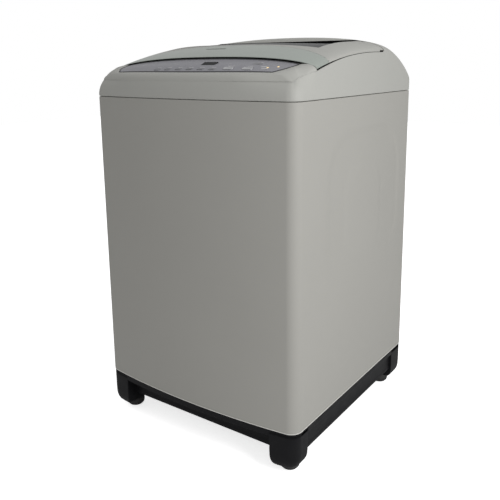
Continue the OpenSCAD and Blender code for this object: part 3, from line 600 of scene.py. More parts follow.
def mix_colour(tree, base, factor, other, blend="MIX"):
    node = tree.nodes.new("ShaderNodeMix")
    node.data_type = "RGBA"
    node.blend_type = blend
    for socket, value in ((node.inputs[0], factor), (node.inputs[6], base), (node.inputs[7], other)):
        if isinstance(value, (tuple, list, float, int)):
            socket.default_value = value
        else:
            tree.links.new(value, socket)
    return node.outputs[2]


def grey_to_colour(tree, value):
    node = tree.nodes.new("ShaderNodeCombineColor")
    for socket in node.inputs:
        tree.links.new(value, socket)
    return node.outputs["Color"]


def base_colour(spec):
    base = spec["base"]
    return tuple(getattr(colours(), base)) if isinstance(base, str) else (*base, 1.0)


def patterned(tree, pattern, colour, fine):
    """Adds the finish's own pattern to its colour and to its fine height."""
    if pattern == "flake":
        sparkle = noise(tree, 5200.0, 1.0)
        lift = maths(tree, "MULTIPLY", maths(tree, "GREATER_THAN", sparkle, 0.62), 0.10)
        colour = mix_colour(tree, colour, lift, (0.9, 0.9, 0.95, 1.0))
    elif pattern == "spangle":
        cells = tree.nodes.new("ShaderNodeTexVoronoi")
        cells.inputs["Scale"].default_value = 70.0
        tree.links.new(tree.nodes.new("ShaderNodeTexCoord").outputs["Object"], cells.inputs["Vector"])
        colour = mix_colour(tree, colour, 0.22, cells.outputs["Color"], "SOFT_LIGHT")
        fine = maths(tree, "ADD", maths(tree, "MULTIPLY", fine, 0.5), cells.outputs["Distance"])
    elif pattern == "brushed":
        fine = noise(tree, 900.0, 3.0, BRUSH_STRETCH)
    return colour, fine


def weathered(tree, spec, colour, rgb):
    """Lightens worn edges and dusts the faces that look up."""
    if spec.get("wear"):
        worn = place_group(tree, "wear", Amount=spec["wear"])
        lighter = tuple(min(1.0, c * 1.6 + 0.05) for c in rgb[:3]) + (1.0,)
        colour = mix_colour(tree, colour, worn.outputs["Mask"], lighter)
    if spec.get("dust"):
        dusty = place_group(tree, "dust", Amount=spec["dust"] * 4)
        colour = mix_colour(tree, colour, dusty.outputs["Mask"], (0.35, 0.34, 0.32, 1.0))
    return colour


def material(name):
    """The finish of that name: drifting tone, grain bump, wear, dust and its own pattern."""
    if name in MATERIALS:
        return MATERIALS[name]
    spec = FINISHES[name]
    mat = bpy.data.materials.new("finish_" + name)
    mat.use_nodes = True
    tree = mat.node_tree
    shader = tree.nodes["Principled BSDF"]
    grain = place_group(tree, "grain", Scale=float(spec["scale"]), Drift=spec["drift"])
    rgb = base_colour(spec)
    colour = mix_colour(tree, rgb, 1.0, grey_to_colour(tree, grain.outputs["Tone"]), "MULTIPLY")
    colour, fine = patterned(tree, spec.get("pattern"), colour, grain.outputs["Height"])
    tree.links.new(weathered(tree, spec, colour, rgb), shader.inputs["Base Color"])
    uneven = maths(tree, "MULTIPLY", maths(tree, "SUBTRACT", noise(tree, 38.0, 5.0), 0.5), spec["spread"])
    tree.links.new(maths(tree, "ADD", uneven, spec["rough"]), shader.inputs["Roughness"])
    bump = tree.nodes.new("ShaderNodeBump")
    bump.inputs["Distance"].default_value = spec["height"] * MM
    bump.inputs["Strength"].default_value = 1.0
    tree.links.new(fine, bump.inputs["Height"])
    tree.links.new(bump.outputs["Normal"], shader.inputs["Normal"])
    shader.inputs["Metallic"].default_value = spec.get("metal", 0.0)
    shader.inputs["Coat Weight"].default_value = spec.get("coat", 0.0)
    shader.inputs["Coat Roughness"].default_value = 0.18
    shader.inputs["Specular IOR Level"].default_value = spec.get("shine", 0.5)
    shader.inputs["Alpha"].default_value = spec.get("alpha", 1.0)
    if spec.get("glow"):
        shader.inputs["Emission Color"].default_value = rgb
        shader.inputs["Emission Strength"].default_value = spec["glow"]
    MATERIALS[name] = mat
    return mat


# ---------------------------------------------------------------- operators


class WASHER_OT_stage(bpy.types.Operator):
    """Floor, background, soft lights and the camera"""

    bl_idname = "washer.stage"
    bl_label = "Stage"

    def execute(self, context):
        scene = context.scene
        scene.view_settings.view_transform = "Standard"
        world = bpy.data.worlds.new("pale_background")
        scene.world = world
        world.use_nodes = True
        background = world.node_tree.nodes["Background"]
        background.inputs["Color"].default_value = (1.0, 1.0, 1.0, 1.0)
        seen = self.seen_by_camera(world.node_tree)
        strength = maths(world.node_tree, "ADD", maths(world.node_tree, "MULTIPLY", seen, 0.42), 0.58)
        world.node_tree.links.new(strength, background.inputs["Strength"])
        floor = new_object("floor", [(-8, -8, 0), (8, -8, 0), (8, 8, 0), (-8, 8, 0)], [(0, 1, 2, 3)])
        floor.data.materials.append(self.floor_material())
        self.light("key_light", (1.75, -0.62, 1.25), (0.3, -0.1, 0.55), (0.7, 0.9), 23)
        self.light("top_light", (0.0, 0.2, 2.8), (0, 0, 0.9), (2.0, 2.0), 9)
        self.camera(scene)
        return {"FINISHED"}

    def seen_by_camera(self, tree):
        return tree.nodes.new("ShaderNodeLightPath").outputs["Is Camera Ray"]

    def floor_material(self):
        """Pale paper sweep that stays bright where the camera sees it."""
        pale = bpy.data.materials.new("pale_floor")
        pale.use_nodes = True
        tree = pale.node_tree
        shader = tree.nodes["Principled BSDF"]
        shader.inputs["Base Color"].default_value = (0.9, 0.9, 0.9, 1)
        shader.inputs["Roughness"].default_value = 0.9
        shader.inputs["Emission Color"].default_value = (1, 1, 1, 1)
        glow = maths(tree, "MULTIPLY", self.seen_by_camera(tree), 0.72)
        tree.links.new(glow, shader.inputs["Emission Strength"])
        return pale

    def light(self, name, place, target, size, power):
        data = bpy.data.lights.new(name, "AREA")
        data.shape = "RECTANGLE"
        data.size, data.size_y = size
        data.energy = power
        lamp = bpy.data.objects.new(name, data)
        lamp.location = place
        lamp.rotation_euler = (Vector(target) - Vector(place)).to_track_quat("-Z", "Y").to_euler()
        bpy.context.scene.collection.objects.link(lamp)

    def camera(self, scene):
        data = bpy.data.cameras.new("camera")
        camera = bpy.data.objects.new("camera", data)
        scene.collection.objects.link(camera)
        yaw, pitch, roll = 0.6177, 0.2053, -0.0111
        ahead = math.cos(pitch)
        forward = Vector((-math.sin(yaw) * ahead, math.cos(yaw) * ahead, -math.sin(pitch)))
        right = Vector((math.cos(yaw), math.sin(yaw), 0))
        up = right.cross(forward)
        right, up = math.cos(roll) * right + math.sin(roll) * up, math.cos(roll) * up - math.sin(roll) * right
        rotation = Matrix((right, up, -forward)).transposed()
        camera.matrix_world = Matrix.Translation((0.9662, -1.3911, 0.9429)) @ rotation.to_4x4()
        data.sensor_width = 36.0
        data.lens = 45.55
        data.shift_x = -0.0048
        data.shift_y = -0.1130
        data.clip_start = 0.05
        scene.camera = camera


def corner_arc(cx, cy, radius, angles):
    """Points and normals on a round corner."""
    return [(cx + radius * math.cos(a), cy + radius * math.sin(a), math.cos(a), math.sin(a)) for a in angles]


def outline_path(spacing=6.0):
    """Points and outward normals of the cabinet's outline, from rear right round the front to rear left."""
    s = sizes()
    bow_y, fx, fy, rx, ry = corner_geometry()
    half = []
    tip = math.atan2(fx, bow_y - fy)
    for a in np.linspace(0, tip, int(fx / 8)):
        half.append((s.bow * math.sin(a), bow_y - s.bow * math.cos(a), math.sin(a), -math.cos(a)))
    half += corner_arc(fx, fy, s.front_corner, np.linspace(-math.pi / 2 + tip, 0, 18)[1:])
    for y in np.linspace(fy, ry, int((ry - fy) / spacing))[1:]:
        half.append((s.half_w, y, 1.0, 0.0))
    half += corner_arc(rx, ry, s.rear_corner, np.linspace(0, math.pi / 2, 14)[1:])
    left = [(-x, y, -nx, ny) for x, y, nx, ny in half[1:]]
    return np.array(list(reversed(half)) + left)


def pressing(y, z):
    """Share of the side pressing's depth at a place: an arched recess with a raised island."""

    def rounded(cy, cz, hy, hz, r):
        qy, qz = np.abs(y - cy) - (hy - r), np.abs(z - cz) - (hz - r)
        return np.hypot(np.maximum(qy, 0), np.maximum(qz, 0)) + np.minimum(np.maximum(qy, qz), 0) - r

    soft = lerp(3.0, 1.0, smooth(-80, 120, y))
    outer = 1 - smooth(-7 * soft, 3 * soft, rounded(38, 605, 200, 178, 120))
    island = 1 - smooth(-4 * soft, 6 * soft, rounded(28, 575, 92, 118, 62))
    fade = smooth(430, 560, z)
    return outer * (1 - 0.75 * island) * lerp(0.35, 1.0, fade)


class WASHER_OT_cabinet(bpy.types.Operator):
    """Sheet steel wrap with rolled hems and pressed sides"""

    bl_idname = "washer.cabinet"
    bl_label = "Cabinet"

    def execute(self, context):
        s = sizes()
        z0, z1, t = s.cabinet_z0, s.cabinet_z1 - 0.5, s.sheet
        path = outline_path(6.0)
        flange = [(x, s.half_d, 0.0, 1.0) for x in np.linspace(262.5, 274, 3)]
        path = np.array(flange + path.tolist() + [(-x, y, -nx, ny) for x, y, nx, ny in reversed(flange)])
        wall = np.linspace(z0 + 6, z1 - 6, 118)
        outer = [(12, z0 + t), (12, z0), (2.4, z0), (0.9, z0 + 0.3), (0.25, z0 + 1.1), (0, z0 + 2.6)]
        outer += [(0, z) for z in wall]
        outer += [(0, z1 - 2.6), (0.25, z1 - 1.1), (0.9, z1 - 0.3), (2.4, z1), (12, z1), (12, z1 - t)]
        inner = [(t, z1 - t)] + [(t, z) for z in wall[::-1]] + [(t, z0 + t)]
        section = np.array(outer + inner)
        x, y, nx, ny = (path[:, k][:, None] for k in range(4))
        inset, z = section[:, 0][None, :], section[:, 1][None, :]
        on_side = smooth(0.99, 1.0, np.abs(nx)) * np.ones_like(inset)
        pressed = (inset <= t + 0.01) * on_side * pressing(y, z) * s.pressing_depth
        depth = inset + pressed
        grid = np.stack([x - nx * depth, y - ny * depth, z + np.zeros_like(x)], -1)
        obj = loft("cabinet_wrap", grid, close_v=True)
        paint = material("cabinet_paint")
        finish_piece(obj, "cabinet", paint, ["cabinet"], width=0.3, angle=50)
        self.hem_bead()
        self.rear_flanges()
        return {"FINISHED"}

    def hem_bead(self):
        """Painted highlight: a light bead along the cabinet's lower rim, standing in for the light its edge
        catches.
        """
        s = sizes()
        path = outline_path(12.0)
        x, y, nx, ny = (path[:, k][:, None] for k in range(4))
        angles = np.linspace(0, 2 * math.pi, 9)[:-1][None, :]
        inset, z = 1.05 - np.cos(angles), s.cabinet_z0 - 0.5 + np.sin(angles)
        bead = loft("hem_bead", np.stack([x - nx * inset, y - ny * inset, z + 0 * x], -1), close_v=True)
        finish_piece(bead, "cabinet", material("hem"), width=0.0001)

    def rear_flanges(self):
        """Folded flanges the rear panel is screwed to."""
        parts = []
        for side in (1, -1):
            for near, far, y0, y1 in ((240.0, 263.2, 311.75, 312.95), (262.0, 263.2, 312.9, 315.4)):
                x0, x1 = sorted((side * near, side * far))
                parts.append(prism("flange", [(x0, y0), (x1, y0), (x1, y1), (x0, y1)], 140, 838))
        flanges = join("rear_flanges", parts)
        finish_piece(flanges, "cabinet", material("cabinet_paint"), width=0.2)


SIDE_SHARE = 0.22
RIM_CORNER = 62.0


def rim_paths(u):
    """The panel's sides and front and the cover's outline outside them, u running from right to left."""
    s = sizes()
    _, fx, fy, _, _ = corner_geometry()
    mirrored = u > 0.5
    k = np.where(mirrored, 1 - u, u)
    t = np.clip((k - SIDE_SHARE) / (1 - 2 * SIDE_SHARE), 0, 1)
    v = np.clip(1 - k / SIDE_SHARE, 0, 1)
    on_side = k < SIDE_SHARE
    side = panel_side(v)
    front_x = lerp(PANEL_HALF, -PANEL_HALF, t)
    inner_x = np.where(on_side, side, front_x)
    inner_y = np.where(on_side, lerp(panel_front(side), lid_edge(side) - 1.0, v), panel_front(front_x))
    straight = k < SIDE_SHARE / 2
    a = np.radians(RIM_CORNER * np.clip(2 * k / SIDE_SHARE - 1, 0, 1))
    reach = fx + s.front_corner * math.cos(math.radians(RIM_CORNER))
    bow_x = lerp(reach, -reach, t)
    outer_x = np.where(straight, s.half_w, np.where(on_side, fx + s.front_corner * np.cos(a), bow_x))
    outer_y = np.where(straight, lerp(COVER_SPLIT_Y, fy, 2 * k / SIDE_SHARE),
                       np.where(on_side, fy - s.front_corner * np.sin(a), front_y(bow_x)))
    sign = np.where(mirrored, -1.0, 1.0)
    return sign * inner_x, inner_y, sign * outer_x, outer_y


def outline_normal(x, y):
    """Outward direction of the outline at a point of it."""
    bow_y, fx, fy, _, _ = corner_geometry()
    a = np.abs(x)
    nx = np.where(y > fy, 1.0, np.where(a > fx + 3.9, a - fx, a))
    ny = np.where(y > fy, 0.0, np.where(a > fx + 3.9, y - fy, y - bow_y))
    length = np.hypot(nx, ny)
    return np.sign(x) * nx / length, ny / length


CORNER_ROLL = 14.0
PANEL_DROP = 4.0


def cover_front():
    """The rolled front of the cover round the panel, down to the joint with the cabinet."""
    s = sizes()
    u = np.linspace(0, 1, 201)[:, None]
    ix, iy, ox, oy = rim_paths(u)
    nx, ny = outline_normal(ox, oy)
    z_base = s.cabinet_z1 + 0.5
    corner = smooth(150, 288, np.abs(ox))
    lean = lerp(CORNER_ROLL / 3, CORNER_ROLL, corner) * (1 - smooth(-276, -218, oy))
    cx, cy = ox - nx * lean, oy - ny * lean
    crease = shoulder(oy)
    sink = PANEL_DROP * smooth(-250, -205, iy)
    end_gap = 2.4 * smooth(-232, -217, oy)
    rows = []
    for drop, step in ((9.0, 0.0), (0.9, 0.0), (0.25, 0.25)):
        x, y = ix + step * np.sign(ix) * (np.abs(ix) > PANEL_HALF), iy - step
        rows.append((x, y, top_z(x, y) - np.maximum(sink, end_gap) - drop))
    inner_z = top_z(ix, iy)
    for t in np.sin(np.linspace(0.02, 1.0, 30) * math.pi / 2)[:-1]:
        x, y = lerp(ix, cx, t), lerp(iy, cy, t)
        rise = lerp(power_roll(t, 2.2), lerp(1 - t**2.4, power_roll(t, 2.2), smooth(-262, -222, oy)), corner)
        rows.append((x, y, crease + (inner_z - crease) * rise - np.maximum(sink * (1 - t) ** 0.6, end_gap)))
    show = smooth(40, 190, ox)
    groove = ((1.4, 0.0), (0.8, 0.1), (0.4, 0.7), (-0.4, 0.7), (-0.8, 0.05))
    for dz, depth in groove:
        rows.append((cx - nx * depth * show, cy - ny * depth * show, crease + dz - end_gap))
    for t in np.linspace(0.06, 1, 14):
        q = 1 - t
        out = lean * (1 - (1 - math.sqrt(1 - (0.75 * q) ** 2)) / (1 - math.sqrt(1 - 0.75**2)))
        rows.append((cx + nx * out, cy + ny * out, lerp(crease - end_gap - 0.8, z_base + 2.4, t)))
    for inset, dz in ((0.25, 1.1), (0.9, 0.3), (2.2, 0.0), (3.0, 0.0)):
        rows.append((ox - nx * inset, oy - ny * inset, z_base + dz + 0 * ox))
    rows.append((cx - nx * 4, cy - ny * 4, crease - 6))
    for t in (0.85, 0.6, 0.3, 0.0):
        x, y = lerp(ix, cx, t), lerp(iy, cy, t)
        rows.append((x * 0.985, y + 3.5 * (t > 0), np.minimum(top_z(x, y) - 9.2, crease + 8)))
    grid = np.stack([np.concatenate([r[k] + 0 * ix for r in rows], 1) for k in range(3)], -1)
    return loft("cover_front", grid, close_v=True)


def seam_gap(y):
    """The joint under the lid's side is widest at the lid's front corner."""
    return 2.4 * (1 - smooth(-217, -60, y))


def rear_shell():
    """Sides of the cover from the lid's front corners back, running on over the hood in one surface."""
    s = sizes()
    path = outline_path(6.0)
    keep = path[path[:, 1] > COVER_SPLIT_Y]
    half = len(keep) // 2
    right = keep[:half][::-1].tolist()
    left = keep[half:][::-1].tolist()
    rear = [(x, s.half_d, 0.0, 1.0) for x in np.linspace(274, -274, 90)[1:-1]]
    ends = [(s.half_w, COVER_SPLIT_Y, 1.0, 0.0), (-s.half_w, COVER_SPLIT_Y, -1.0, 0.0)]
    columns = np.array(ends[:1] + right + rear + left + ends[1:])
    x, y, nx, ny = (columns[:, k][:, None] for k in range(4))
    on_hood = (y > HOOD_Y).astype(float)
    steps = np.hypot(np.diff(columns[:, 0]), np.diff(columns[:, 1])) * (columns[1:, 1] > HOOD_Y)
    share = np.concatenate([[0], np.cumsum(steps)])[:, None] / steps.sum()
    front_x, front_line = 299.0 * np.cos(math.pi * share), HOOD_Y + 0 * x
    z_base = s.cabinet_z1 + 0.5
    top = np.maximum(shoulder(y) - seam_gap(y), z_base + 2.6)
    foot_of_wall = ((3.0, 0.0), (2.2, 0.0), (0.9, 0.3), (0.25, 1.1))
    rows = [(x - nx * i, y - ny * i, z_base + dz + 0 * x) for i, dz in foot_of_wall]
    for t in np.linspace(0, 1, 14):
        rows.append((x, y, lerp(z_base + 2.4, top, t)))
    for t in 1 - np.cos(np.linspace(0, 1, 64)[1:] * math.pi / 2):
        px = lerp(lerp(x, x - nx * 3, t), lerp(x, front_x, t), on_hood)
        py = lerp(lerp(y, y - ny * 3, t), lerp(y, front_line, t), on_hood)
        rows.append((px, py, lerp(top, np.maximum(hood_z(px, py), z_base + 2.6), on_hood)))
    grid = np.stack([np.concatenate([r[k] + 0 * x for r in rows], 1) for k in range(3)], -1)
    return loft("rear_shell", grid)


def panel_floor(grow=6.0, drop=9.4, thick=2.5, nu=40, nv=10):
    """Shelf of the cover under the control panel."""
    u, v = np.meshgrid(np.linspace(0, 1, nu), np.linspace(0, 1, nv), indexing="ij")
    w = panel_side(v) + grow
    x = (2 * u - 1) * w
    y = lerp(panel_front(x) - grow, lid_edge(x) - 1.5, v)
    z = top_z(x, y) - drop
    return skin("panel_floor", x, y, z, np.stack([x, y, z - thick], -1))


class WASHER_OT_cover(bpy.types.Operator):
    """Top cover and the hood behind the lid"""

    bl_idname = "washer.cover"
    bl_label = "Top cover"

    def execute(self, context):
        ledges = []
        for side in (1, -1):
            y = np.linspace(-214, HOOD_Y - 1, 60)[:, None]
            x0, x1 = side * 283.0, side * 297.2
            z = shoulder(y) - 8
            xs = np.concatenate([x0 + 0 * y, x1 + 0 * y, x1 + 0 * y, x0 + 0 * y], 1)
            zs = np.concatenate([z, z, z - 3, z - 3], 1)
            ledges.append(loft("ledge", np.stack([xs, y + 0 * xs, zs], -1), close_v=True))
        cover = join("top_cover_shell", [cover_front(), panel_floor()] + ledges)
        plastic = material("cover_plastic")
        finish_piece(cover, "cabinet", plastic, ["top_cover"], width=0.5, angle=50)
        self.hood()
        self.hood_gap_shade_strip()
        return {"FINISHED"}

    def hood(self):
        """Sides and hood as one thin shell, with the hood's upright front wall."""
        shell = rear_shell()
        tidy_normals(shell)
        crest = max(shell.data.polygons, key=lambda p: p.center.z)
        if crest.normal.z < 0:
            shell.data.flip_normals()
        wall = shell.modifiers.new("wall", "SOLIDIFY")
        wall.thickness = 3 * MM
        wall.offset = -1
        soften(shell, 0.3, 50)
        shell.data.materials.append(material("cover_plastic"))
        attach(shell, "cabinet")
        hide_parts("rear_hood")
        ux = np.sin(np.linspace(-1, 1, 61) * math.pi / 2)[:, None] * 296
        top = hood_z(ux, HOOD_Y + 0 * ux) - 0.5
        zs = np.concatenate([909 + 0 * ux, top, top, 909 + 0 * ux], 1)
        ys = np.concatenate([0 * ux, 0 * ux, 3 + 0 * ux, 3 + 0 * ux], 1) + HOOD_Y + 0.3
        front = loft("hood_front", np.stack([ux + 0 * zs, ys, zs], -1), close_v=True)
        finish_piece(front, "cabinet", material("cover_plastic"), width=0.5)

    def hood_gap_shade_strip(self):
        """Painted shade: a near-black strip in the gap between the window and the hood, standing in for the
        shadow there.
        """
        x = np.linspace(-238, 238, 81)[:, None]
        top = np.minimum(hood_z(x, HOOD_Y + 0 * x) - 0.2, HOOD_GAP_Z + 0.4)
        ys = np.concatenate([0 * x, 0 * x, 1.5 + 0 * x, 1.5 + 0 * x], 1) + HOOD_Y - 1.4
        zs = np.concatenate([top - 12, top, top, top - 12], 1)
        strip = loft("hood_gap", np.stack([x + 0 * ys, ys, zs], -1), close_v=True)
        finish_piece(strip, "cabinet", material("dark_gap"), width=0.1)


KEY_Y = -273.0
KEY_X0 = -101.0
KEY_PITCH = 33.0
KEY_COUNT = 6
OPTION = (164.0, -237.0)
POWER = (107.0, -268.0)
START = (157.0, -266.0)
DISPLAY = (35.0, -244.0)
STATUS_LAMPS = ((203, -256), (224, -247))
SMALL_KEY = (19, 7)
OPTION_KEY = (24, 10)
BUTTON = (27, 13)
KEY_GAP = 0.5


def panel_z(x, y):
    """The panel dips towards the lid, so the lid's front edge stands proud of it."""
    return top_z(x, y) - PANEL_DROP * smooth(-258, -204, y)


def panel_tilt():
    """Slope of the panel along the row of keys."""
    return math.atan(float(crown(np.array(KEY_Y + 2)) - crown(np.array(KEY_Y - 2))) / 4)


def on_panel(x, y):
    """Placement of a fitting that sits on the sloping panel."""
    z = float(panel_z(np.array(x), np.array(y)))
    return Matrix.Translation((x * MM, y * MM, z * MM)) @ Matrix.Rotation(panel_tilt(), 4, "X")


def panel_hole(outline, place):
    """Cutter right through the panel."""
    return prism("hole", outline, -9, 6, on_panel(*place))


def key_places():
    """Middles of the small keys, from left to right."""
    return [(KEY_X0 + i * KEY_PITCH, KEY_Y) for i in range(KEY_COUNT)]


def panel_grid(nu, nv, grow):
    u, v = np.meshgrid(np.linspace(0, 1, nu), np.linspace(0, 1, nv), indexing="ij")
    w = panel_side(v) + grow
    x = (2 * u - 1) * w
    y = lerp(panel_front(x) - grow, lid_edge(x) - 1.5, v)
    return x, y


class WASHER_OT_panel(bpy.types.Operator):
    """Control panel with its border, display and indicator lamps"""

    bl_idname = "washer.panel"
    bl_label = "Control panel"

    def execute(self, context):
        x, y = panel_grid(97, 27, -0.6)
        z = panel_z(x, y)
        fascia = skin("panel_fascia", x, y, z, np.stack([x, y, z - 3.5], -1))
        cutters = [panel_hole(slot_outline(*SMALL_KEY, KEY_GAP), place) for place in key_places()]
        cutters.append(panel_hole(slot_outline(*OPTION_KEY, KEY_GAP), OPTION))
        cutters += [panel_hole(slot_outline(*BUTTON, KEY_GAP), place) for place in (POWER, START)]
        cutters.append(panel_hole(box_outline(20.1, 8.6, 0.6), DISPLAY))
        cut(fascia, cutters)
        plastic = material("panel_plastic")
        finish_piece(fascia, "cabinet", plastic, ["control_panel"], width=0.25, angle=50)
        self.border()
        self.lamps()
        self.legends()
        self.status_lamps()
        return {"FINISHED"}

    def border(self):
        """Dark raised frame round the panel."""
        columns = []
        for u in np.linspace(0, 4, 241)[:-1]:
            side, t = int(u), u - int(u)
            a, b = ((0.0, t), (t, 1.0), (1.0, 1 - t), (1 - t, 0.0))[side]
            columns.append((a, b))
        ab = np.array(columns)

        def edge(grow, inset_v):
            u, v = ab[:, 0], ab[:, 1]
            v2 = lerp(inset_v, 1 - inset_v, v)
            w = panel_side(v2) + grow
            x = (2 * u - 1) * w
            return x, lerp(panel_front(x), lid_edge(x) - 1.5, v2)

        rows = []
        outer_wall = ((-0.6, 0.008, -2.5), (-0.6, 0.008, 0.5), (-1.2, 0.014, 0.9))
        inner_wall = ((-3.4, 0.045, 0.9), (-3.9, 0.052, 0.4), (-3.9, 0.052, -2.5))
        for grow, inset_v, lift in outer_wall + inner_wall:
            x, y = edge(grow, inset_v)
            rows.append(np.stack([x, y, panel_z(x, y) + lift], -1))
        obj = loft("panel_border", np.stack(rows, 1), close_u=True, close_v=True)
        finish_piece(obj, "cabinet", material("trim"), width=0.1)

    def lamps(self):
        """Small raised indicator lamps beside the keys."""
        row = [(x + dx, y + 17) for x, y in key_places() for dx in (-9, 0, 9)]
        places = [(x, y) for x, y in row if abs(x - DISPLAY[0]) > 26]
        places += [(POWER[0] + dx, POWER[1] + 22) for dx in (-12, 0, 12)]
        lamps = join("indicator_lamps", [self.dome(on_panel(x, y), 1.1) for x, y in places])
        finish_piece(lamps, "cabinet", material("button_plastic"), width=0.05)

    def status_lamps(self):
        """Two lit lamps at the right end of the panel."""
        lit = join("status_lamps", [self.dome(on_panel(x, y), 2.6) for x, y in STATUS_LAMPS])
        finish_piece(lit, "cabinet", material("lamp"), width=0.05)

    def legends(self):
        """Plain bars beside the keys, where a caption would be."""
        marks = [(x, y + 8.5, 6.0, 0.7, 0.3) for x, y in key_places()]
        marks.append((OPTION[0], OPTION[1] + 9.5, 8.0, 0.7, 0.3))
        marks += [(x, y + 11.5, 9.0, 0.7, 0.3) for x, y in (POWER, START)]
        marks += [(196 - 6 * k, -263 + 9 * k, 11, 1.4, 0.5) for k in range(2)]
        bars = []
        for x, y, half_x, half_y, radius in marks:
            bars.append(prism("mark", box_outline(half_x, half_y, radius), -0.2, 0.25, on_panel(x, y)))
        finish_piece(join("key_legends", bars), "cabinet", material("legend"), width=0.05)

    def dome(self, matrix, radius):
        """Low round lens."""
        rings = []
        for r, z in ((1.0, -0.6), (1.0, 0.1), (0.85, 0.32), (0.5, 0.48), (0.01, 0.52)):
            angles = np.linspace(0, 2 * math.pi, 17)[:-1]
            x, y = r * radius * np.cos(angles), r * radius * np.sin(angles)
            rings.append(np.stack([x, y, z + 0 * angles], -1))
        grid = np.stack(rings, 1)
        obj = loft("dome", grid, close_u=True)
        obj.data.transform(matrix)
        return obj


def cap(name, outline, matrix, top=0.9, bottom=-4.2, dish=0.35):
    """Key cap with a raised rim and a dished face."""
    rim = ((1.0, bottom), (1.0, top - 0.35), (0.955, top), (0.86, top))
    levels = rim + ((0.78, top - dish), (0.4, top - dish * 1.2), (0.02, top - dish * 1.25))
    pts = np.array(outline)
    grid = np.stack([np.stack([pts[:, 0] * k, pts[:, 1] * k, z + 0 * pts[:, 0]], -1) for k, z in levels], 1)
    obj = loft(name, grid, close_u=True)
    obj.data.transform(matrix)
    return obj


class WASHER_OT_keys(bpy.types.Operator):
    """Programme keys, option key and the two round buttons"""

    bl_idname = "washer.keys"
    bl_label = "Keys and buttons"

    def execute(self, context):
        plastic = material("key_plastic")
        for i, place in enumerate(key_places(), 1):
            self.key(f"key_{i}", SMALL_KEY, place, plastic)
        self.key("option_key", OPTION_KEY, OPTION, plastic)
        for node, place in (("power_button", POWER), ("start_button", START)):
            self.key(node, BUTTON, place, material("button_plastic"), top=1.3, dish=0.5)
        return {"FINISHED"}

    def key(self, node, size, place, look, **shape):
        obj = cap(node + "_cap", slot_outline(*size, steps=20), on_panel(*place), **shape)
        finish_piece(obj, node, look, [node], width=0.1)


def lid_low(x, y, z, thick):
    """Underside of a lid piece: never below the joint with the cover's sides."""
    return np.stack([x, y, np.maximum(z - thick, shoulder(y) + 1)], -1)


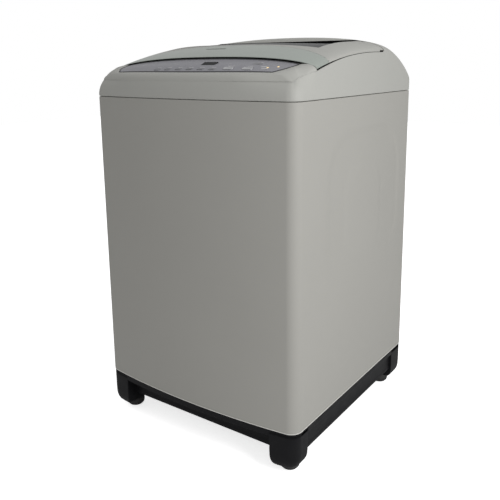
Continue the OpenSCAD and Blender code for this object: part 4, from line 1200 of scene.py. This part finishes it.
class WASHER_OT_lid(bpy.types.Operator):
    """Lid: grip section, side rails with the crest, and the smoked window"""

    bl_idname = "washer.lid"
    bl_label = "Lid"

    def execute(self, context):
        self.grip()
        self.rails()
        self.window()
        return {"FINISHED"}

    def grip(self):
        """Front section of the lid with its shallow slot."""
        u, v = np.meshgrid(np.linspace(-1, 1, 141), np.linspace(0, 1, 30), indexing="ij")
        x = LID_SIDE * np.sin(u * math.pi / 2)
        y = lerp(lid_edge(x) + 1.4, grip_edge(x) - 0.9, v)
        z = top_z(x, y)
        obj = skin("lid_grip", x, y, z, lid_low(x, y, z, 10))
        cut(obj, [prism("slot", slot_outline(62, 6, 0.0), -1.6, 9, self.on_lid(-30, -137))])
        finish_piece(obj, "lid", material("grip_plastic"), ["lid_front"], width=1.2)
        plate = prism("grip_slot", slot_outline(61.4, 5.4), -1.5, -0.5, self.on_lid(-30, -137))
        finish_piece(plate, "lid", material("trim"), width=0.15)
        # the three calls below add near-black strips and blocks that paint the shade in the lid's gaps
        self.lip()
        self.side_seals()
        self.corner_gap_shades()

    def lip(self):
        """Painted shade: a near-black strip under the lid's front edge, standing in for the shadow line above
        the panel.
        """
        x = (LID_SIDE - 1.5) * np.sin(np.linspace(-1, 1, 161) * math.pi / 2)[:, None]
        y = lid_edge(x)
        top = top_z(x, y + 1.4)
        ys = np.concatenate([y + 0.1, y + 0.1, y + 2.6, y + 2.6], 1)
        zs = np.concatenate([np.maximum(top - 9, shoulder(y) + 1.5), top - 1.1, top - 1.1, top - 9], 1)
        zs[:, 3] = zs[:, 0]
        strip = loft("lid_lip", np.stack([x + 0 * ys, ys, zs], -1), close_v=True)
        finish_piece(strip, "lid", material("dark_gap"), width=0.1)

    def side_seals(self):
        """Painted shade: near-black strips under the lid's sides, standing in for the shadow in the joint."""
        parts = []
        for side in (1, -1):
            y = np.linspace(-214, 100, 60)[:, None]
            z = shoulder(y)
            inner, outer = y * 0 + side * 288, y * 0 + side * 296.6
            xs = np.concatenate([inner, outer, outer, inner], 1)
            zs = np.concatenate([z - 4, z - 4, z + 1.2, z + 1.2], 1)
            parts.append(loft("seal", np.stack([xs, y + 0 * xs, zs], -1), close_v=True))
        finish_piece(join("side_seals", parts), "lid", material("dark_gap"), width=0.2)

    def corner_gap_shades(self):
        """Painted shade: small near-black blocks in the notch at the lid's rear lower corners, standing in
        for the shadow there.
        """
        parts = []
        for side in (1, -1):
            xs = sorted((side * 290.0, side * 299.2))
            outline = [(xs[0], 103), (xs[1], 103), (xs[1], 116), (xs[0], 116)]
            parts.append(prism("buffer", outline, 962.2, 967.5))
        finish_piece(join("lid_buffers", parts), "lid", material("dark_gap"), width=0.4)

    def on_lid(self, x, y):
        """Placement of a detail on the lid's sloping front."""
        z = float(top_z(np.array(x * 1.0), np.array(y * 1.0)))
        slope = math.atan(float(crown(np.array(y + 2.0)) - crown(np.array(y - 2.0))) / 4)
        return Matrix.Translation((x * MM, y * MM, z * MM)) @ Matrix.Rotation(slope, 4, "X")

    def rails(self):
        """Sides and rear bar of the lid in one ring round the window."""
        n = 46
        inner, outer = [], []
        w, s_w = WINDOW_HALF, LID_SIDE
        y0, y1 = WINDOW_Y
        for k in range(n):
            t = k / n
            inner.append((lerp(-w, w, t), y1))
            outer.append((lerp(-s_w, s_w, t), LID_REAR_Y))
        for k in range(n):
            t = k / n
            inner.append((w, lerp(y1, y0, t)))
            outer.append((s_w, lerp(LID_REAR_Y, float(grip_edge(s_w)), t)))
        for k in range(n):
            t = k / n
            inner.append((lerp(w, -w, t), y0))
            outer.append((lerp(s_w, -s_w, t), float(grip_edge(lerp(s_w, -s_w, t)))))
        for k in range(n):
            t = k / n
            inner.append((-w, lerp(y0, y1, t)))
            outer.append((-s_w, lerp(float(grip_edge(s_w)), LID_REAR_Y, t)))
        a, b = np.array(inner)[:, None], np.array(outer)[:, None]
        t = np.sin(np.linspace(0, 1, 20) * math.pi / 2)[None, :, None]
        xy = lerp(a, b, t)
        x, y = xy[..., 0], xy[..., 1]
        z = lid_z(x, y)
        obj = skin("lid_rails", x, y, z, lid_low(x, y, z, 14), ring=True)
        notch = []
        for side in (1, -1):
            xs = sorted((side * 239.0, side * 251.0))
            notch.append(prism("notch", [(xs[0], 100), (xs[1], 100), (xs[1], 120), (xs[0], 120)], 940, 1010))
        cut(obj, notch)
        finish_piece(obj, "lid", material("lid_plastic"), ["lid_frame"], width=1.4)

    def window(self):
        """Smoked window, set a little below the rails."""
        u, v = np.meshgrid(np.linspace(-1, 1, 90), np.linspace(0, 1, 50), indexing="ij")
        x = u * (WINDOW_HALF - 0.4)
        y = lerp(WINDOW_Y[0] + 0.4, WINDOW_Y[1] - 0.4, v)
        z = lid_z(x, y) - 3
        obj = skin("lid_glass", x, y, z, np.stack([x, y, z - 4], -1))
        finish_piece(obj, "lid", material("window_glass"), ["lid_window"], width=0.4)


class WASHER_OT_basket(bpy.types.Operator):
    """Perforated basket wall"""

    bl_idname = "washer.basket"
    bl_label = "Basket"
    around = 72
    rows = 24

    def execute(self, context):
        r = sizes().basket_r
        low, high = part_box("basket")
        z0, z1 = low.z / MM, high.z / MM
        cell_w, cell_h = 2 * math.pi / self.around, (z1 - z0 - 30) / self.rows
        hole = 3.2
        bm = bmesh.new()
        cache = {}

        def vert(angle, z, depth):
            """Shared vertex of the two skins."""
            key = (round(angle % (2 * math.pi), 6), round(z, 4), depth)
            if key not in cache:
                q = r - depth
                cache[key] = bm.verts.new((q * math.cos(angle) * MM, q * math.sin(angle) * MM, z * MM))
            return cache[key]

        def face(corners, turned=False):
            bm.faces.new([vert(*c) for c in (corners[::-1] if turned else corners)])

        eighths = range(8)
        quarter = ((0.5, 0), (0.5, 0.5), (0, 0.5), (-0.5, 0.5))
        corners = quarter + tuple((-px, -pz) for px, pz in quarter)
        for row in range(self.rows):
            for k in range(self.around):
                a0 = (k + 0.5 * (row % 2)) * cell_w
                zc = z0 + 15 + (row + 0.5) * cell_h
                turns = [i * math.pi / 4 for i in eighths]
                rim = [(a0 + px * cell_w, zc + pz * cell_h) for px, pz in corners]
                ring = [(a0 + hole * math.cos(t) / r, zc + hole * math.sin(t)) for t in turns]
                for i in eighths:
                    j = (i + 1) % 8
                    for depth in (0, 1.0):
                        quad = [(*rim[i], depth), (*rim[j], depth), (*ring[j], depth), (*ring[i], depth)]
                        face(quad, depth > 0)
                    face([(*ring[i], 0), (*ring[j], 0), (*ring[j], 1.0), (*ring[i], 1.0)])
        for za, zb in ((z0, z0 + 15), (z0 + 15 + self.rows * cell_h, z1)):
            for k in range(self.around * 2):
                a, b = k * cell_w / 2, (k + 1) * cell_w / 2
                for depth in (0, 1.0):
                    face([(a, za, depth), (b, za, depth), (b, zb, depth), (a, zb, depth)], depth > 0)
                for z in (z0, z1):
                    if z in (za, zb):
                        face([(a, z, 0), (b, z, 0), (b, z, 1.0), (a, z, 1.0)], z == z0)
        mesh = bpy.data.meshes.new("basket_wall")
        bm.to_mesh(mesh)
        bm.free()
        obj = bpy.data.objects.new("basket_wall", mesh)
        context.scene.collection.objects.link(obj)
        obj.data.materials.append(material("basket_steel"))
        for p in obj.data.polygons:
            p.use_smooth = False
        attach(obj, "basket")
        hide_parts("basket")
        return {"FINISHED"}


class WASHER_OT_pulsator(bpy.types.Operator):
    """Pulsator disc with swept fins and a domed hub"""

    bl_idname = "washer.pulsator"
    bl_label = "Pulsator"
    fins = 6

    def execute(self, context):
        big = sizes().pulsator_r
        low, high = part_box("pulsator")
        z0, z1 = low.z / MM, high.z / MM
        radii = np.concatenate([np.linspace(12, 40, 10), np.linspace(44, big - 3, 44), [big - 1, big - 0.2]])
        angles = np.linspace(0, 2 * math.pi, 241)[:-1]
        a, r = np.meshgrid(angles, radii, indexing="ij")
        t = np.clip((r - 12) / (big - 12), 0, 1)
        dish = z0 + 9 + 4 * t**2
        hub = (z1 - dish - 1.5) * (1 - smooth(18, 62, r))
        swirl = 0.55 * (r / big) ** 1.3
        wave = 0.5 + 0.5 * np.cos(self.fins * (a - swirl))
        fin = (z1 - dish - 9) * wave**5 * smooth(44, 80, r) * (1 - smooth(big - 30, big - 8, r))
        z = dish + hub + fin
        z[:, -2] = z0 + 12.5
        z[:, -1] = z0 + 11
        upper = np.stack([r * np.cos(a), r * np.sin(a), z], -1)
        lower_r = np.array([big - 0.2, big - 4, 60, 12])
        a2, r2 = np.meshgrid(angles, lower_r, indexing="ij")
        z2 = np.array([z0 + 6, z0, z0, z0])[None, :] + 0 * r2
        under = np.stack([r2 * np.cos(a2), r2 * np.sin(a2), z2], -1)
        obj = loft("pulsator_disc", np.concatenate([upper, under], 1), close_u=True, close_v=True)
        plastic = material("pulsator_plastic")
        finish_piece(obj, "pulsator", plastic, ["pulsator"], width=0.3, angle=60)
        return {"FINISHED"}


class WASHER_OT_back(bpy.types.Operator):
    """Stiffening ribs pressed into the rear panel"""

    bl_idname = "washer.back"
    bl_label = "Rear ribs"

    def execute(self, context):
        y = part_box("rear_panel")[1].y / MM
        parts = []
        for x, z0, z1 in ((-150, 250, 730), (-50, 160, 730), (50, 160, 780), (150, 160, 770)):
            middle = Matrix.Translation((x * MM, y * MM, (z0 + z1) / 2 * MM))
            turn = middle @ Matrix.Rotation(math.radians(-90), 4, "X")
            outline = [(py, px) for px, py in slot_outline(z1 - z0, 26, steps=16)]
            parts.append(cap("rib", outline, turn, top=1.1, bottom=-0.4, dish=0.0))
        obj = join("rear_ribs", parts)
        finish_piece(obj, "cabinet", material("rear_sheet"), width=0.2)
        return {"FINISHED"}


class WASHER_OT_base(bpy.types.Operator):
    """Moulded base: rim, skirts and corner pods, with the feet under them"""

    bl_idname = "washer.base"
    bl_label = "Base and feet"
    foot_x = 256.0

    def execute(self, context):
        parts = [self.rim()]
        for sx in (1, -1):
            parts.append(self.skirt((sx * 290.5, -246), (sx * 290.5, 246), 5))
            parts.append(self.pod(sx, -1))
            parts.append(self.pod(sx, 1))
        parts.append(self.skirt((-236, -271), (236, -271), 5))
        parts.append(self.skirt((-236, 284), (236, 284), 5))
        shell = join("base_shell", parts)
        plastic = material("base_plastic")
        finish_piece(shell, "cabinet", plastic, ["base_frame"], width=1.0, angle=40)
        for node in ("front_foot_left", "front_foot_right", "rear_feet"):
            low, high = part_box(node)
            y = (low.y + high.y) / 2 / MM
            sides = (1, -1) if node == "rear_feet" else (1 if low.x > 0 else -1,)
            feet = join(node + "_cup", [self.foot(sx * self.foot_x, y) for sx in sides])
            body = {"front_foot_left": "left_foot", "front_foot_right": "right_foot"}.get(node, "cabinet")
            finish_piece(feet, body, material("rubber"), [node], width=0.1)
        return {"FINISHED"}

    def rim(self):
        """Rim that carries the cabinet's lower edge."""
        path = outline_path(14.0)
        x, y, nx, ny = (path[:, k][:, None] for k in range(4))
        inset = np.array([[4, 1.4, 1.0, 1.0, 1.8, 40, 40]])
        z = np.array([[114.4, 114.4, 113.6, 100.0, 98.6, 104, 114.4]])
        grid = np.stack([x - nx * inset, y - ny * inset, z + 0 * x], -1)
        return loft("rim", grid, close_u=True, close_v=True)

    def skirt(self, a, b, thick):
        """Upright web with a rounded lower edge and a stiffening bead."""
        a, b = np.array(a, float), np.array(b, float)
        along = (b - a) / np.linalg.norm(b - a)
        across = np.array([along[1], -along[0]])
        t = np.linspace(0, 1, 24)[:, None]
        half = thick / 2
        outer = ((-half, 108), (-half, 60), (-half, 53), (-half * 0.6, 51.4), (0, 51))
        inner = ((half * 0.6, 51.4), (half, 53), (half, 60), (half * 0.55, 62), (half * 0.55, 90), (half, 92))
        section = outer + inner + ((half, 108),)
        xy = a + (b - a) * t
        rows = [np.concatenate([xy + across * off, np.full_like(t, z)], 1) for off, z in section]
        return loft("skirt", np.stack(rows, 1), close_v=True)

    pod_inner = (224.0, 238.0)
    pod_centre = (258.0, 270.0)

    def pod(self, sx, sy):
        """Corner pod: follows the cabinet's corner, tapering below to the foot."""
        path = outline_path(4.0)
        inner, centre = (np.array((sx * x, sy * y)) for x, y in (self.pod_inner, self.pod_centre))
        near = path[(path[:, 0] * sx > self.pod_inner[0]) & (path[:, 1] * sy > self.pod_inner[1])]
        ring = np.vstack([near[:, :2] - near[:, 2:], inner])
        turn = np.arctan2(ring[:, 1] - centre[1], ring[:, 0] - centre[0])
        reach = ring[np.argsort(turn)] - centre
        upright = ((110, 1.0), (104, 1.0), (60, 0.995), (46, 0.98))
        tapered = ((38, 0.94), (31, 0.86), (26, 0.76), (23, 0.66), (21.5, 0.6), (21.5, 0.02))
        rings = []
        for z, k in upright + tapered:
            rings.append(np.concatenate([centre + reach * k, np.full((len(reach), 1), float(z))], 1))
        return loft("pod", np.stack(rings, 1), close_u=True)

    def foot(self, x, y):
        """Cup shaped foot on its threaded stem."""
        stem = ((0.1, 84), (4.2, 84), (5, 83), (5, 25))
        cup = ((17, 24.5), (21.5, 23), (23.6, 18), (23.8, 13), (22.4, 7), (18.5, 2.6))
        sole = ((14, 0.6), (12, 0), (0.1, 0))
        angles = np.linspace(0, 2 * math.pi, 41)[:-1]
        rings = []
        for r, z in stem + cup + sole:
            rings.append(np.stack([x + r * np.cos(angles), y + r * np.sin(angles), z + 0 * angles], -1))
        return loft("foot", np.stack(rings, 1), close_u=True)


class WASHER_OT_finishes(bpy.types.Operator):
    """Finishes and rounded edges on the pieces that keep their frame shape"""

    bl_idname = "washer.finishes"
    bl_label = "Finishes"

    def execute(self, context):
        slots = {row["node"]: row["material_slot"] for row in frame["record"]["subparts"]}
        widths = {"loading_tray": 1.2, "outer_tub": 1.2, "balance_ring": 2.0, "dispenser_drawer": 0.6,
                  "rear_panel": 0.4, "suspension_springs": 0.0}
        for node, obj in NODES.items():
            if obj.hide_render:
                continue
            obj.data.materials.clear()
            obj.data.materials.append(material(slots[node]))
            width = widths.get(node, 0.5)
            if width:
                soften(obj, width, 35, weld=True)
        return {"FINISHED"}


class WASHER_PT_panel(bpy.types.Panel):
    """Lists the pieces in the sidebar"""

    bl_label = "Washer"
    bl_idname = "WASHER_PT_panel"
    bl_space_type = "VIEW_3D"
    bl_region_type = "UI"
    bl_category = "Washer"

    def draw(self, context):
        for group in (context.scene.washer_sizes, context.scene.washer_colours):
            for prop in group.bl_rna.properties:
                if prop.identifier not in ("rna_type", "name"):
                    self.layout.prop(group, prop.identifier)
        for operator in OPERATORS:
            self.layout.operator(operator.bl_idname)


OPERATORS = (
    WASHER_OT_stage, WASHER_OT_cabinet, WASHER_OT_cover, WASHER_OT_panel, WASHER_OT_keys, WASHER_OT_lid,
    WASHER_OT_basket, WASHER_OT_pulsator, WASHER_OT_base, WASHER_OT_back, WASHER_OT_finishes,
)
CLASSES = (WasherSizes, WasherColours, *OPERATORS, WASHER_PT_panel)


def register():
    for cls in CLASSES:
        bpy.utils.register_class(cls)
    bpy.types.Scene.washer_sizes = bpy.props.PointerProperty(type=WasherSizes)
    bpy.types.Scene.washer_colours = bpy.props.PointerProperty(type=WasherColours)


def unregister():
    del bpy.types.Scene.washer_colours
    del bpy.types.Scene.washer_sizes
    for cls in reversed(CLASSES):
        bpy.utils.unregister_class(cls)


def main():
    register()
    for operator in OPERATORS:
        category, name = operator.bl_idname.split(".")
        getattr(getattr(bpy.ops, category), name)()
    bpy.context.view_layer.update()


if __name__ == "__main__":
    main()
